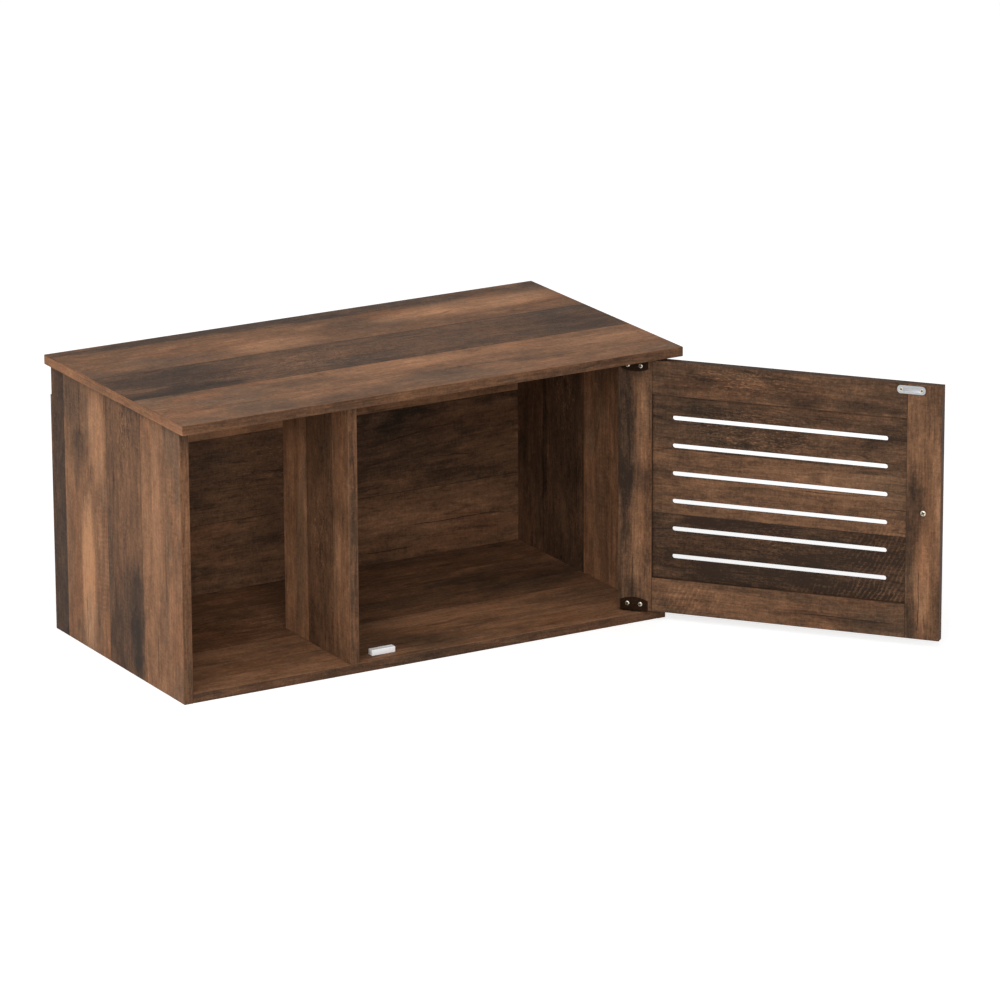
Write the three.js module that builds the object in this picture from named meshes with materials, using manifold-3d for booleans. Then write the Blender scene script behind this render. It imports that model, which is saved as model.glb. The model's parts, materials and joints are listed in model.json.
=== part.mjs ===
// Cat litter box cabinet: a low cabinet of laminated boards. The left bay is open at the front and lets
// the cat in. A passage behind the short divider leads it to the litter bay on the right, which closes
// with a slotted frame door on two pivot hinges. The door stands open here.
//
// Millimetres and degrees. +X is to the right, +Y to the rear and +Z up, seen by someone facing the door.
// The origin is the middle of the cabinet's footprint, on the floor.

import * as THREE from 'three';
import { mergeVertices } from 'three/addons/utils/BufferGeometryUtils.js';
import Module from 'manifold-3d';

const wasm = await Module();
wasm.setup();

// ---------------------------------------------------------------------------------------------------
// Driving dimensions
// ---------------------------------------------------------------------------------------------------

// Boards
const boardThickness = 16;
const edgeEase = 0.6; // the small bevel round each face of a laminated board
const boardFit = 0.2; // between two boards that butt
const seatGap = 0.3; // between a small part and what it seats on or in

// Carcass
const bodyWidth = 878; // over the two side panels
const bodyDepth = 450;
const overallHeight = 462;
const topSideOverhang = 11;
const topFrontOverhang = 33;
const entryBayWidth = 279.5; // clear width of the open bay on the left
const dividerDepth = 219; // the cat passes behind it
const backPanelThickness = 3;
const backRailHeight = 70;
const backPanelLap = 18; // how far the back panel reaches up over the rear rail

// Door
const doorSideGap = 5;
const doorEndGap = 4; // above and below the door, where the hinge leaves fit
const doorSetback = 5; // from the front edges of the sides
const frameMemberWidth = 57;
const slottedPanelThickness = 3;
const grooveDepth = 8;
const slotCount = 6;
const slotHeight = 7.6;
const slotEndMargin = 33; // from the frame to the end of a slot
const slotRowMargin = 38; // from the frame to the middle of the first and last slot
const doorOpening = 130; // degrees from closed

// Pivot hinges
const pivotInset = 27.6; // from the door's hinge edge to the pivot
const hingePlateLength = 46.7;
const hingePlateEndHeight = 16;
const hingePlateMiddleHeight = 21;
const hingeSteelThickness = 1.6;
const hingeLeafRootWidth = 24;
const hingeLeafNoseRadius = 8;
const hingeScrewSpacing = 22;
const hingeScrewHeight = 10.6; // above the door's edge
const hingeScrewHeadRadius = 3.9;
const hingeScrewHeadHeight = 2;
const hingeScrewShankRadius = 1.75;
const hingeScrewLength = 12;
const pinRadius = 3;
const pinLength = 9; // below the bush's flange
const pinSpigotRadius = 2;
const pinRivetRadius = 3.2;
const pinRivetHeight = 0.8;
const pivotClearance = 0.1; // all round the pin, in the bush
const bushRadius = 5;
const bushFlangeRadius = 8;
const bushDepth = 11;

// Knob, on the middle of the handle stile
const knobRadius = 15;
const knobNeckRadius = 6.5;
const knobBaseRadius = 9;
const knobProjection = 26;
const knobHeadThickness = 11;
const knobScrewHeadRadius = 4.8;
const knobScrewHeadHeight = 2.2;
const knobScrewShankRadius = 2;
const knobScrewReach = 10; // into the knob

// Magnetic catches and their strike plate
const strikePlateLength = 46.7;
const strikePlateHeight = 13.5;
const strikePlateThickness = 1.5;
const strikePlateFromFreeEdge = 50.4; // the plate's middle
const strikePlateFromTopEdge = 9.3;
const strikeScrewSpacing = 34;
const strikeScrewHeadRadius = 2.8;
const strikeScrewShankRadius = 1.4;
const strikeScrewLength = 11;
const catchLength = 43;
const catchDepth = 12;
const catchHeight = 10;
const catchEdge = 0.8;
const catchPegSpacing = 32;
const catchPegRadius = 2;
const catchPegLength = 7;
const magnetLength = 22;
const magnetDepth = 6;
const magnetHeight = 6;

// Cam fittings: a cam lock in one board draws in the head of a bolt that is screwed into the other
const camRadius = 7.2;
const camHeight = 12;
const camReach = 24; // from the joint to the cam's axis
const camBoltRadius = 3.2;
const camBoltNeckRadius = 2;
const camBoltHeadRadius = 3.3;
const camBoltHeadThickness = 2.6;
const camBoltThreadRadius = 2.7;
const camBoltThreadLength = 10.5;
const camFromFrontEdge = 60;
const camFromRearEdge = 60;

// Dowels
const dowelRadius = 4;
const dowelLength = 30;
const dowelChamfer = 1;
const dowelFromDividerRear = 50;

// ---------------------------------------------------------------------------------------------------
// Values that follow from them
// ---------------------------------------------------------------------------------------------------

const bodyHalfWidth = bodyWidth / 2;
const innerHalfWidth = bodyHalfWidth - boardThickness;
const frontY = -bodyDepth / 2;
const rearY = bodyDepth / 2;
const topUnderside = overallHeight - boardThickness;
const sideHeight = topUnderside - boardFit;
const railBottomZ = sideHeight - backRailHeight;
const backPanelTopZ = railBottomZ + backPanelLap;
const dividerLeftX = -innerHalfWidth + entryBayWidth;
const dividerRightX = dividerLeftX + boardThickness;
const dividerRearY = frontY + dividerDepth;

const doorWidth = innerHalfWidth - dividerRightX - 2 * doorSideGap;
const doorHeight = topUnderside - boardThickness - 2 * doorEndGap;
const doorBottomZ = boardThickness + doorEndGap;
const doorFace = boardThickness / 2; // from the door's middle plane to either face
const pivotX = innerHalfWidth - doorSideGap - pivotInset;
const pivotY = frontY + doorSetback + doorFace;
const doorHingeEdge = pivotInset; // door places are measured from the pivot, with the door closed
const doorFreeEdge = pivotInset - doorWidth;
const hingeStileInner = doorHingeEdge - frameMemberWidth;
const handleStileInner = doorFreeEdge + frameMemberWidth;
const knobX = doorFreeEdge + frameMemberWidth / 2;
const strikeX = doorFreeEdge + strikePlateFromFreeEdge;
const strikeZ = doorHeight - strikePlateFromTopEdge;

const bushFlangeThickness = doorEndGap - 2 * seatGap - hingeSteelThickness;
const leafUnderside = -seatGap - hingeSteelThickness; // from the door's edge
const plateInnerY = doorFace + seatGap;
const plateOuterY = plateInnerY + hingeSteelThickness;
const strikeOuterY = doorFace + seatGap + strikePlateThickness;

const drillOverrun = 1; // a drill starts this far outside the board
const roundSteps = 16;
const fineRoundSteps = 24;
const smallRoundSteps = 10;

const LEFT = new THREE.Vector3(-1, 0, 0);
const RIGHT = new THREE.Vector3(1, 0, 0);
const UP = new THREE.Vector3(0, 0, 1);
const DOWN = new THREE.Vector3(0, 0, -1);
const REAR = new THREE.Vector3(0, 1, 0);
const FRONT = new THREE.Vector3(0, -1, 0);

// ---------------------------------------------------------------------------------------------------
// Materials
// ---------------------------------------------------------------------------------------------------

function finish(color, roughness, metalness) {
  return new THREE.MeshStandardMaterial({ color, roughness, metalness });
}

const brownLaminate = finish(0x70523c, 0.55, 0);
const blackSteel = finish(0x1d1a18, 0.45, 0.7);
const blackNylon = finish(0x181818, 0.6, 0);
const whitePlastic = finish(0xf1f1ee, 0.4, 0);
const nickelSteel = finish(0xc9c5bd, 0.3, 1);
const zincAlloy = finish(0xa9abad, 0.45, 1);
const magnetFerrite = finish(0x3a3a3c, 0.7, 0.2);
const beech = finish(0xcfa878, 0.7, 0);

// ---------------------------------------------------------------------------------------------------
// Solids: three.js makes the forms, and manifold-3d joins and cuts them
// ---------------------------------------------------------------------------------------------------

const weldDistance = 1e-4;

function toSolid(geometry) {
  const bare = geometry.index ? geometry.toNonIndexed() : geometry.clone();
  bare.deleteAttribute('normal');
  bare.deleteAttribute('uv');
  const welded = mergeVertices(bare, weldDistance);
  return new wasm.Manifold(new wasm.Mesh({
    numProp: 3,
    vertProperties: new Float32Array(welded.attributes.position.array),
    triVerts: new Uint32Array(welded.index.array),
  }));
}

function toGeometry(solid) {
  const { vertProperties, triVerts } = solid.getMesh();
  const geometry = new THREE.BufferGeometry();
  geometry.setAttribute('position', new THREE.BufferAttribute(new Float32Array(vertProperties), 3));
  geometry.setIndex(new THREE.BufferAttribute(new Uint32Array(triVerts), 1));
  geometry.computeVertexNormals();
  return geometry;
}

function cut(body, tools) {
  const left = tools.reduce((solid, tool) => solid.subtract(toSolid(tool)), toSolid(body));
  return toGeometry(left);
}

function join(bodies) {
  const [first, ...others] = bodies.map(toSolid);
  return toGeometry(others.reduce((solid, other) => solid.add(other), first));
}

// A box between two corners.
function block([x0, x1], [y0, y1], [z0, z1]) {
  const box = new THREE.BoxGeometry(x1 - x0, y1 - y0, z1 - z0);
  return box.translate((x0 + x1) / 2, (y0 + y1) / 2, (z0 + z1) / 2);
}

// A flat piece with the given outline, from height 0 to its thickness. A bevel stays inside that size.
function flat(outline, thickness, bevel = 0, curveSegments = 6) {
  const piece = new THREE.ExtrudeGeometry(outline, {
    depth: thickness - 2 * bevel,
    bevelEnabled: bevel > 0,
    bevelThickness: bevel,
    bevelSize: bevel,
    bevelOffset: -bevel,
    bevelSegments: 1,
    curveSegments,
  });
  return piece.translate(0, 0, bevel);
}

// The same piece stood up: its outline lies in X and Z, and it runs from frontFace to rearFace in Y.
function upright(outline, frontFace, rearFace, bevel = 0, curveSegments = 6) {
  const piece = flat(outline, rearFace - frontFace, bevel, curveSegments);
  return piece.rotateX(Math.PI / 2).translate(0, rearFace, 0);
}

function rectangle(x0, x1, y0, y1) {
  const outline = new THREE.Shape();
  outline.moveTo(x0, y0);
  outline.lineTo(x1, y0);
  outline.lineTo(x1, y1);
  outline.lineTo(x0, y1);
  outline.closePath();
  return outline;
}

// A slot or plate with round ends, as an outline or as a hole in one.
function stadium(path, centreX, centreY, length, height) {
  const radius = height / 2;
  const reach = length / 2 - radius;
  path.moveTo(centreX - reach, centreY - radius);
  path.lineTo(centreX + reach, centreY - radius);
  path.absarc(centreX + reach, centreY, radius, -Math.PI / 2, Math.PI / 2, false);
  path.lineTo(centreX - reach, centreY + radius);
  path.absarc(centreX - reach, centreY, radius, Math.PI / 2, 1.5 * Math.PI, false);
  return path;
}

// A laminated board between two corners, with eased edges round the two faces across its thin axis.
function board([x0, x1], [y0, y1], [z0, z1], thinAxis) {
  if (thinAxis === 'z') {
    return flat(rectangle(x0, x1, y0, y1), z1 - z0, edgeEase).translate(0, 0, z0);
  }
  if (thinAxis === 'y') {
    return upright(rectangle(x0, x1, z0, z1), y0, y1, edgeEase);
  }
  const lying = upright(rectangle(y0, y1, z0, z1), -x1, -x0, edgeEase);
  return lying.rotateZ(Math.PI / 2);
}

// A form turned about +Z, from [radius, height] pairs that start and end on the axis, lowest first.
function turned(profile, steps) {
  const points = profile.map(([radius, height]) => new THREE.Vector2(radius, height));
  return new THREE.LatheGeometry(points, steps).rotateX(Math.PI / 2);
}

function rod(radius, from, to, steps) {
  return turned([[0, from], [radius, from], [radius, to], [0, to]], steps);
}

// The radius that keeps the flats of a round hole outside the given radius.
function clearOf(radius, steps) {
  return radius / Math.cos(Math.PI / steps);
}

// A frame whose +Z points along, at a place. A round piece turned about +Z is set by it.
function axisFrame(at, along) {
  const turn = new THREE.Quaternion().setFromUnitVectors(UP, along);
  return new THREE.Matrix4().compose(at, turn, new THREE.Vector3(1, 1, 1));
}

// A frame whose +X points along and whose +Z is the way that the piece faces.
function facingFrame(at, along, facing) {
  const across = new THREE.Vector3().crossVectors(facing, along);
  return new THREE.Matrix4().makeBasis(along, across, facing).setPosition(at);
}

function part(name, geometry, material, frame = new THREE.Matrix4()) {
  const mesh = new THREE.Mesh(geometry, material);
  mesh.name = name;
  frame.decompose(mesh.position, mesh.quaternion, mesh.scale);
  return mesh;
}

// ---------------------------------------------------------------------------------------------------
// Screws
// ---------------------------------------------------------------------------------------------------

const recessWidthShare = 0.34;
const recessLengthShare = 1.2;
const domeSteps = 3;

// The cross recess of a screw head whose top is at the given height.
function crossRecess(headRadius, top, depth) {
  const halfLength = (headRadius * recessLengthShare) / 2;
  const halfWidth = (headRadius * recessWidthShare) / 2;
  const height = [top - depth, top + drillOverrun];
  return join([
    block([-halfLength, halfLength], [-halfWidth, halfWidth], height),
    block([-halfWidth, halfWidth], [-halfLength, halfLength], height),
  ]);
}

// A pan-head screw along -Z, with the underside of its head at 0.
function panHeadScrew(headRadius, headHeight, shankRadius, length) {
  const profile = [
    [0, -length],
    [shankRadius, -length + 2 * shankRadius],
    [shankRadius, 0],
    [headRadius, 0],
    [headRadius, 0.35 * headHeight],
  ];
  for (let step = 1; step < domeSteps; step += 1) {
    const angle = ((step / domeSteps) * Math.PI) / 2;
    profile.push([headRadius * Math.cos(angle), headHeight * (0.35 + 0.65 * Math.sin(angle))]);
  }
  profile.push([0, headHeight]);
  return cut(turned(profile, roundSteps), [crossRecess(headRadius, headHeight, 0.55 * headHeight)]);
}

// A countersunk screw along -Z, with the top of its head at 0.
function flushScrew(headRadius, headHeight, shankRadius, length) {
  const screw = turned([
    [0, -length],
    [shankRadius, -length + 2 * shankRadius],
    [shankRadius, -headHeight],
    [headRadius, 0],
    [0, 0],
  ], roundSteps);
  return cut(screw, [crossRecess(headRadius, 0, 0.6 * headHeight)]);
}

// The hole that such a screw's shank goes into, from just outside the surface at 0.
function pilotHole(shankRadius, depth) {
  const radius = clearOf(shankRadius + seatGap, smallRoundSteps);
  return rod(radius, -depth - seatGap, drillOverrun, smallRoundSteps);
}

// ---------------------------------------------------------------------------------------------------
// Cam fittings and dowels. A fitting is set by a frame at the joint of its two boards: +X goes into the
// board with the cam lock, and +Z is the face that the cam lock is put in from.
// ---------------------------------------------------------------------------------------------------

const camFaceZ = boardThickness / 2 - seatGap;
const camMouthHalf = camBoltHeadRadius + seatGap;

function camLock() {
  const drum = rod(camRadius, camFaceZ - camHeight, camFaceZ, roundSteps).translate(camReach, 0, 0);
  const mouth = block(
    [camReach - camRadius - drillOverrun, camReach + camMouthHalf],
    [-camMouthHalf, camMouthHalf],
    [-camMouthHalf, camMouthHalf],
  );
  const recess = crossRecess(camRadius, camFaceZ, 1.8).rotateZ(Math.PI / 4);
  return cut(drum, [mouth, recess.translate(camReach, 0, 0)]);
}

function camPocket() {
  const radius = clearOf(camRadius + seatGap, roundSteps);
  const floor = camFaceZ - camHeight - seatGap;
  return rod(radius, floor, boardThickness / 2 + drillOverrun, roundSteps).translate(camReach, 0, 0);
}

// The bolt, turned about its axis: thread, shaft, neck and the head that the cam lock holds.
function camBolt() {
  const headStart = camReach - camBoltHeadThickness / 2;
  return turned([
    [0, -camBoltThreadLength],
    [camBoltThreadRadius - 1, -camBoltThreadLength],
    [camBoltThreadRadius, -camBoltThreadLength + 1.5],
    [camBoltThreadRadius, 0],
    [camBoltRadius, 0],
    [camBoltRadius, camReach - camRadius - seatGap],
    [camBoltNeckRadius, camReach - camRadius + 1],
    [camBoltNeckRadius, headStart],
    [camBoltHeadRadius, headStart],
    [camBoltHeadRadius, headStart + camBoltHeadThickness],
    [0, headStart + camBoltHeadThickness],
  ], smallRoundSteps);
}

const camFittings = [];
const dowels = [];

// One fitting: where it is, the board that holds its cam lock and the board that its bolt is screwed into.
function addCamFitting(name, at, along, facing, camBoard, boltBoard) {
  camFittings.push({ name, frame: facingFrame(at, along, facing), at, along, camBoard, boltBoard });
}

function addDowel(name, at, along, boards) {
  dowels.push({ name, frame: axisFrame(at, along), boards });
}

// All that is drilled in a board for the fittings and dowels that meet in it.
function drillingsOf(boardName) {
  const tools = [];
  const boreRadius = clearOf(camBoltRadius + seatGap, smallRoundSteps);
  const threadHoleRadius = clearOf(camBoltThreadRadius + seatGap, smallRoundSteps);
  for (const { frame, at, along, camBoard, boltBoard } of camFittings) {
    const boltFrame = axisFrame(at, along);
    if (camBoard === boardName) {
      tools.push(camPocket().applyMatrix4(frame));
      tools.push(rod(boreRadius, -drillOverrun, camReach, smallRoundSteps).applyMatrix4(boltFrame));
    }
    if (boltBoard === boardName) {
      const depth = camBoltThreadLength + seatGap;
      tools.push(rod(threadHoleRadius, -depth, drillOverrun, smallRoundSteps).applyMatrix4(boltFrame));
    }
  }
  const dowelHole = clearOf(dowelRadius + seatGap, smallRoundSteps);
  const dowelReach = dowelLength / 2 + drillOverrun;
  for (const { frame, boards } of dowels) {
    if (boards.includes(boardName)) {
      tools.push(rod(dowelHole, -dowelReach, dowelReach, smallRoundSteps).applyMatrix4(frame));
    }
  }
  return tools;
}

function fittingParts(isWanted) {
  const parts = [];
  for (const { name, frame, at, along } of camFittings.filter(isWanted)) {
    parts.push(part(`cam_lock_${name}`, camLock(), zincAlloy, frame));
    parts.push(part(`cam_bolt_${name}`, camBolt(), nickelSteel, axisFrame(at, along)));
  }
  return parts;
}

function dowelParts(isWanted) {
  const end = dowelLength / 2;
  return dowels.filter(isWanted).map(({ name, frame }) => part(`dowel_${name}`, turned([
    [0, -end],
    [dowelRadius - dowelChamfer, -end],
    [dowelRadius, -end + dowelChamfer],
    [dowelRadius, end - dowelChamfer],
    [dowelRadius - dowelChamfer, end],
    [0, end],
  ], smallRoundSteps), beech, frame));
}

// ---------------------------------------------------------------------------------------------------
// Carcass
// ---------------------------------------------------------------------------------------------------

const camRows = { front: frontY + camFromFrontEdge, rear: rearY - camFromRearEdge };
for (const [row, y] of Object.entries(camRows)) {
  // The bottom hangs between the sides, with its cam locks on its underside.
  const middle = boardThickness / 2;
  addCamFitting(`bottom_left_${row}`, new THREE.Vector3(-innerHalfWidth, y, middle), RIGHT, DOWN,
    'bottom_panel', 'left_side_panel');
  addCamFitting(`bottom_right_${row}`, new THREE.Vector3(innerHalfWidth, y, middle), LEFT, DOWN,
    'bottom_panel', 'right_side_panel');
  // The top lies on the sides, with its bolts hanging into them.
  const sideMiddle = innerHalfWidth + middle;
  addCamFitting(`top_left_${row}`, new THREE.Vector3(-sideMiddle, y, topUnderside), DOWN, RIGHT,
    'left_side_panel', 'top_panel');
  addCamFitting(`top_right_${row}`, new THREE.Vector3(sideMiddle, y, topUnderside), DOWN, LEFT,
    'right_side_panel', 'top_panel');
}

// The divider stands on the bottom and holds up the top, with its cam locks on the litter bay's side.
const dividerMiddleX = dividerLeftX + boardThickness / 2;
const dividerDowelY = dividerRearY - dowelFromDividerRear;
addCamFitting('divider_foot', new THREE.Vector3(dividerMiddleX, camRows.front, boardThickness), UP, RIGHT,
  'divider_panel', 'bottom_panel');
addCamFitting('divider_head', new THREE.Vector3(dividerMiddleX, camRows.front, topUnderside), DOWN, RIGHT,
  'divider_panel', 'top_panel');
// A dowel into the face of a board goes only part way through it.
const dowelInFace = boardThickness - 6;
const dowelIntoEdge = dowelLength / 2 - dowelInFace;
addDowel('divider_foot', new THREE.Vector3(dividerMiddleX, dividerDowelY, boardThickness + dowelIntoEdge), UP,
  ['divider_panel', 'bottom_panel']);
addDowel('divider_head', new THREE.Vector3(dividerMiddleX, dividerDowelY, topUnderside - dowelIntoEdge), UP,
  ['divider_panel', 'top_panel']);

// The rear rail stiffens the top edge of the back and hangs on a dowel at each end.
const railMiddleZ = railBottomZ + backRailHeight / 2;
const railMiddleY = rearY - boardThickness / 2;
const railDowelX = innerHalfWidth - dowelIntoEdge;
addDowel('back_rail_left', new THREE.Vector3(-railDowelX, railMiddleY, railMiddleZ), RIGHT,
  ['back_rail', 'left_side_panel']);
addDowel('back_rail_right', new THREE.Vector3(railDowelX, railMiddleY, railMiddleZ), RIGHT,
  ['back_rail', 'right_side_panel']);

// A pivot bush, along -Z into its board, with its flange on the board's face at 0.
function pivotBush() {
  const bush = turned([
    [0, -bushDepth],
    [bushRadius, -bushDepth],
    [bushRadius, 0],
    [bushFlangeRadius, 0],
    [bushFlangeRadius, 0.6 * bushFlangeThickness],
    [bushFlangeRadius - 0.4 * bushFlangeThickness, bushFlangeThickness],
    [0, bushFlangeThickness],
  ], fineRoundSteps);
  const bore = rod(clearOf(pinRadius + pivotClearance, fineRoundSteps), -pinLength - 1,
    bushFlangeThickness + drillOverrun, fineRoundSteps);
  return cut(bush, [bore]);
}

function bushHole() {
  return rod(clearOf(bushRadius + seatGap, fineRoundSteps), -bushDepth - seatGap, drillOverrun, fineRoundSteps);
}

const lowerPivot = axisFrame(new THREE.Vector3(pivotX, pivotY, boardThickness), UP);
const upperPivot = axisFrame(new THREE.Vector3(pivotX, pivotY, topUnderside), DOWN);

// A catch housing, standing on 0 with its front face at Y 0: a block with a magnet inside, on two pegs.
function catchHousing() {
  const half = catchLength / 2;
  const blank = flat(rectangle(-half, half, 0, catchDepth), catchHeight + catchEdge, catchEdge)
    .translate(0, 0, -catchEdge);
  const pegs = [-1, 1].map((side) => rod(catchPegRadius, -catchPegLength, 1, smallRoundSteps)
    .translate((side * catchPegSpacing) / 2, catchDepth / 2, 0));
  const squareFoot = block([-half - 1, half + 1], [-1, catchDepth + 1], [-catchEdge - 1, 0]);
  const pocket = block(
    [-magnetLength / 2 - seatGap, magnetLength / 2 + seatGap],
    [catchDepth / 2 - magnetDepth / 2 - seatGap, catchDepth / 2 + magnetDepth / 2 + seatGap],
    [-drillOverrun, magnetHeight + 2 * seatGap],
  );
  return join([cut(blank, [squareFoot, pocket]), ...pegs]);
}

function catchMagnet() {
  return block(
    [-magnetLength / 2, magnetLength / 2],
    [catchDepth / 2 - magnetDepth / 2, catchDepth / 2 + magnetDepth / 2],
    [seatGap, seatGap + magnetHeight],
  );
}

function pegHoles() {
  const radius = clearOf(catchPegRadius + seatGap, smallRoundSteps);
  return [-1, 1].map((side) => rod(radius, -catchPegLength - seatGap, drillOverrun, smallRoundSteps)
    .translate((side * catchPegSpacing) / 2, catchDepth / 2, 0));
}

// The lower catch stops the closed door's back face, and the upper one its strike plate.
const catchX = pivotX + strikeX;
const doorBackY = pivotY + doorFace;
const lowerCatchFrame = facingFrame(
  new THREE.Vector3(catchX, doorBackY + seatGap, boardThickness), RIGHT, UP);
const upperCatchFrame = facingFrame(
  new THREE.Vector3(catchX, pivotY + strikeOuterY + seatGap, topUnderside), LEFT, DOWN);

function buildCarcass() {
  const carcass = new THREE.Group();
  const depth = [frontY, rearY];
  const sideZ = [0, sideHeight];
  const dividerZ = [boardThickness + boardFit, sideHeight];
  const bayX = [-innerHalfWidth + boardFit, innerHalfWidth - boardFit];
  const topX = [-bodyHalfWidth - topSideOverhang, bodyHalfWidth + topSideOverhang];

  const boards = {
    top_panel: board(topX, [frontY - topFrontOverhang, rearY], [topUnderside, overallHeight], 'z'),
    bottom_panel: board(bayX, depth, [0, boardThickness], 'z'),
    left_side_panel: board([-bodyHalfWidth, -innerHalfWidth], depth, sideZ, 'x'),
    right_side_panel: board([innerHalfWidth, bodyHalfWidth], depth, sideZ, 'x'),
    divider_panel: board([dividerLeftX, dividerRightX], [frontY, dividerRearY], dividerZ, 'x'),
    back_rail: board(bayX, [rearY - boardThickness, rearY], [railBottomZ, sideHeight], 'y'),
  };
  const extraTools = {
    bottom_panel: [bushHole().applyMatrix4(lowerPivot), ...pegHoles().map((t) => t.applyMatrix4(lowerCatchFrame))],
    top_panel: [bushHole().applyMatrix4(upperPivot), ...pegHoles().map((t) => t.applyMatrix4(upperCatchFrame))],
  };
  for (const [name, blank] of Object.entries(boards)) {
    const tools = [...drillingsOf(name), ...(extraTools[name] ?? [])];
    carcass.add(part(name, cut(blank, tools), brownLaminate));
  }

  const backY = [rearY + boardFit, rearY + boardFit + backPanelThickness];
  const backOutline = rectangle(-bodyHalfWidth, bodyHalfWidth, 0, backPanelTopZ);
  carcass.add(part('back_panel', upright(backOutline, ...backY), brownLaminate));

  carcass.add(part('lower_pivot_bush', pivotBush(), blackNylon, lowerPivot));
  carcass.add(part('upper_pivot_bush', pivotBush(), blackNylon, upperPivot));
  carcass.add(part('lower_catch_housing', catchHousing(), whitePlastic, lowerCatchFrame));
  carcass.add(part('lower_catch_magnet', catchMagnet(), magnetFerrite, lowerCatchFrame));
  carcass.add(part('upper_catch_housing', catchHousing(), whitePlastic, upperCatchFrame));
  carcass.add(part('upper_catch_magnet', catchMagnet(), magnetFerrite, upperCatchFrame));
  carcass.add(...fittingParts(() => true));
  carcass.add(...dowelParts(({ name }) => !name.startsWith('door_')));
  return carcass;
}

// ---------------------------------------------------------------------------------------------------
// Door, in the frame of its pivot: X 0 and Y 0 are the pivot's axis, and Z 0 is the door's lower edge
// ---------------------------------------------------------------------------------------------------

// The dowels lie in the solid part of a frame member, clear of the panel's groove.
const doorDowelFromEdge = (frameMemberWidth - grooveDepth) / 2;
const doorDowelRows = { bottom: doorDowelFromEdge, top: doorHeight - doorDowelFromEdge };
for (const [row, z] of Object.entries(doorDowelRows)) {
  addDowel(`door_${row}_hinge_side`, new THREE.Vector3(hingeStileInner, 0, z), RIGHT,
    ['door_hinge_stile', `door_${row}_rail`]);
  addDowel(`door_${row}_handle_side`, new THREE.Vector3(handleStileInner, 0, z), RIGHT,
    ['door_handle_stile', `door_${row}_rail`]);
}

const hingeScrewX = [-hingeScrewSpacing / 2, hingeScrewSpacing / 2];
const strikeScrewX = [strikeX - strikeScrewSpacing / 2, strikeX + strikeScrewSpacing / 2];

// The two ends of the door turn on the same hinge: the upper one is the lower one turned over.
function hingeFrame(row) {
  const frame = new THREE.Matrix4();
  return row === 'lower' ? frame : frame.makeRotationY(Math.PI).setPosition(0, 0, doorHeight);
}

function onInnerFace(x, z, face = doorFace) {
  return axisFrame(new THREE.Vector3(x, face, z), REAR);
}

function grooveTool(xRange, zRange) {
  const half = slottedPanelThickness / 2 + seatGap;
  return block(xRange, [-half, half], zRange);
}

function hingeStileTools() {
  const tools = [];
  for (const row of ['lower', 'upper']) {
    const frame = hingeFrame(row);
    for (const x of hingeScrewX) {
      const hole = pilotHole(hingeScrewShankRadius, hingeScrewLength).applyMatrix4(onInnerFace(x, hingeScrewHeight));
      tools.push(hole.applyMatrix4(frame));
    }
    const recess = rod(clearOf(pinRivetRadius + seatGap, roundSteps), -drillOverrun, pinRivetHeight + seatGap, roundSteps);
    tools.push(recess.applyMatrix4(frame));
  }
  return tools;
}

// A leaf folded from sheet steel: a plate with an arched edge on the door's inner face, and a tongue
// under the door's edge that holds the pin.
function hingeBracket() {
  const half = hingePlateLength / 2;
  const plate = new THREE.Shape();
  plate.moveTo(-half, leafUnderside);
  plate.lineTo(half, leafUnderside);
  plate.lineTo(half, hingePlateEndHeight);
  plate.quadraticCurveTo(0, 2 * hingePlateMiddleHeight - hingePlateEndHeight, -half, hingePlateEndHeight);
  plate.closePath();

  const rootHalf = hingeLeafRootWidth / 2;
  const tongue = new THREE.Shape();
  tongue.moveTo(rootHalf, plateOuterY);
  tongue.lineTo(-rootHalf, plateOuterY);
  tongue.lineTo(-hingeLeafNoseRadius, 0);
  tongue.absarc(0, 0, hingeLeafNoseRadius, Math.PI, 2 * Math.PI, false);
  tongue.closePath();

  const leaf = join([
    upright(plate, plateInnerY, plateOuterY),
    flat(tongue, hingeSteelThickness).translate(0, 0, leafUnderside),
  ]);
  const screwHoles = hingeScrewX.map((x) => rod(
    clearOf(hingeScrewShankRadius + seatGap, smallRoundSteps),
    -hingeSteelThickness - drillOverrun, drillOverrun, smallRoundSteps,
  ).applyMatrix4(onInnerFace(x, hingeScrewHeight, plateOuterY)));
  const pinHole = rod(clearOf(pinSpigotRadius + seatGap, roundSteps), leafUnderside - drillOverrun,
    drillOverrun, roundSteps);
  return cut(leaf, [...screwHoles, pinHole]);
}

// The pin hangs from the tongue into the bush, and its end is riveted over inside the tongue.
function hingePin() {
  const shoulder = leafUnderside - seatGap;
  const flangeTop = -doorEndGap + bushFlangeThickness;
  const end = flangeTop - bushFlangeThickness - pinLength;
  const lead = 0.8;
  return turned([
    [0, end],
    [pinRadius - lead, end],
    [pinRadius, end + lead],
    [pinRadius, shoulder],
    [pinSpigotRadius, shoulder],
    [pinSpigotRadius, 0],
    [pinRivetRadius, 0],
    [pinRivetRadius - 0.4, pinRivetHeight],
    [0, pinRivetHeight],
  ], fineRoundSteps);
}

function buildHinge(row) {
  const hinge = new THREE.Group();
  hingeFrame(row).decompose(hinge.position, hinge.quaternion, hinge.scale);
  hinge.add(part(`${row}_hinge_bracket`, hingeBracket(), blackSteel));
  hinge.add(part(`${row}_hinge_pin`, hingePin(), nickelSteel));
  hingeScrewX.forEach((x, index) => {
    const screw = panHeadScrew(hingeScrewHeadRadius, hingeScrewHeadHeight, hingeScrewShankRadius, hingeScrewLength);
    const frame = onInnerFace(x, hingeScrewHeight, plateOuterY + seatGap);
    hinge.add(part(`${row}_hinge_screw_${index + 1}`, screw, nickelSteel, frame));
  });
  return hinge;
}

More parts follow.
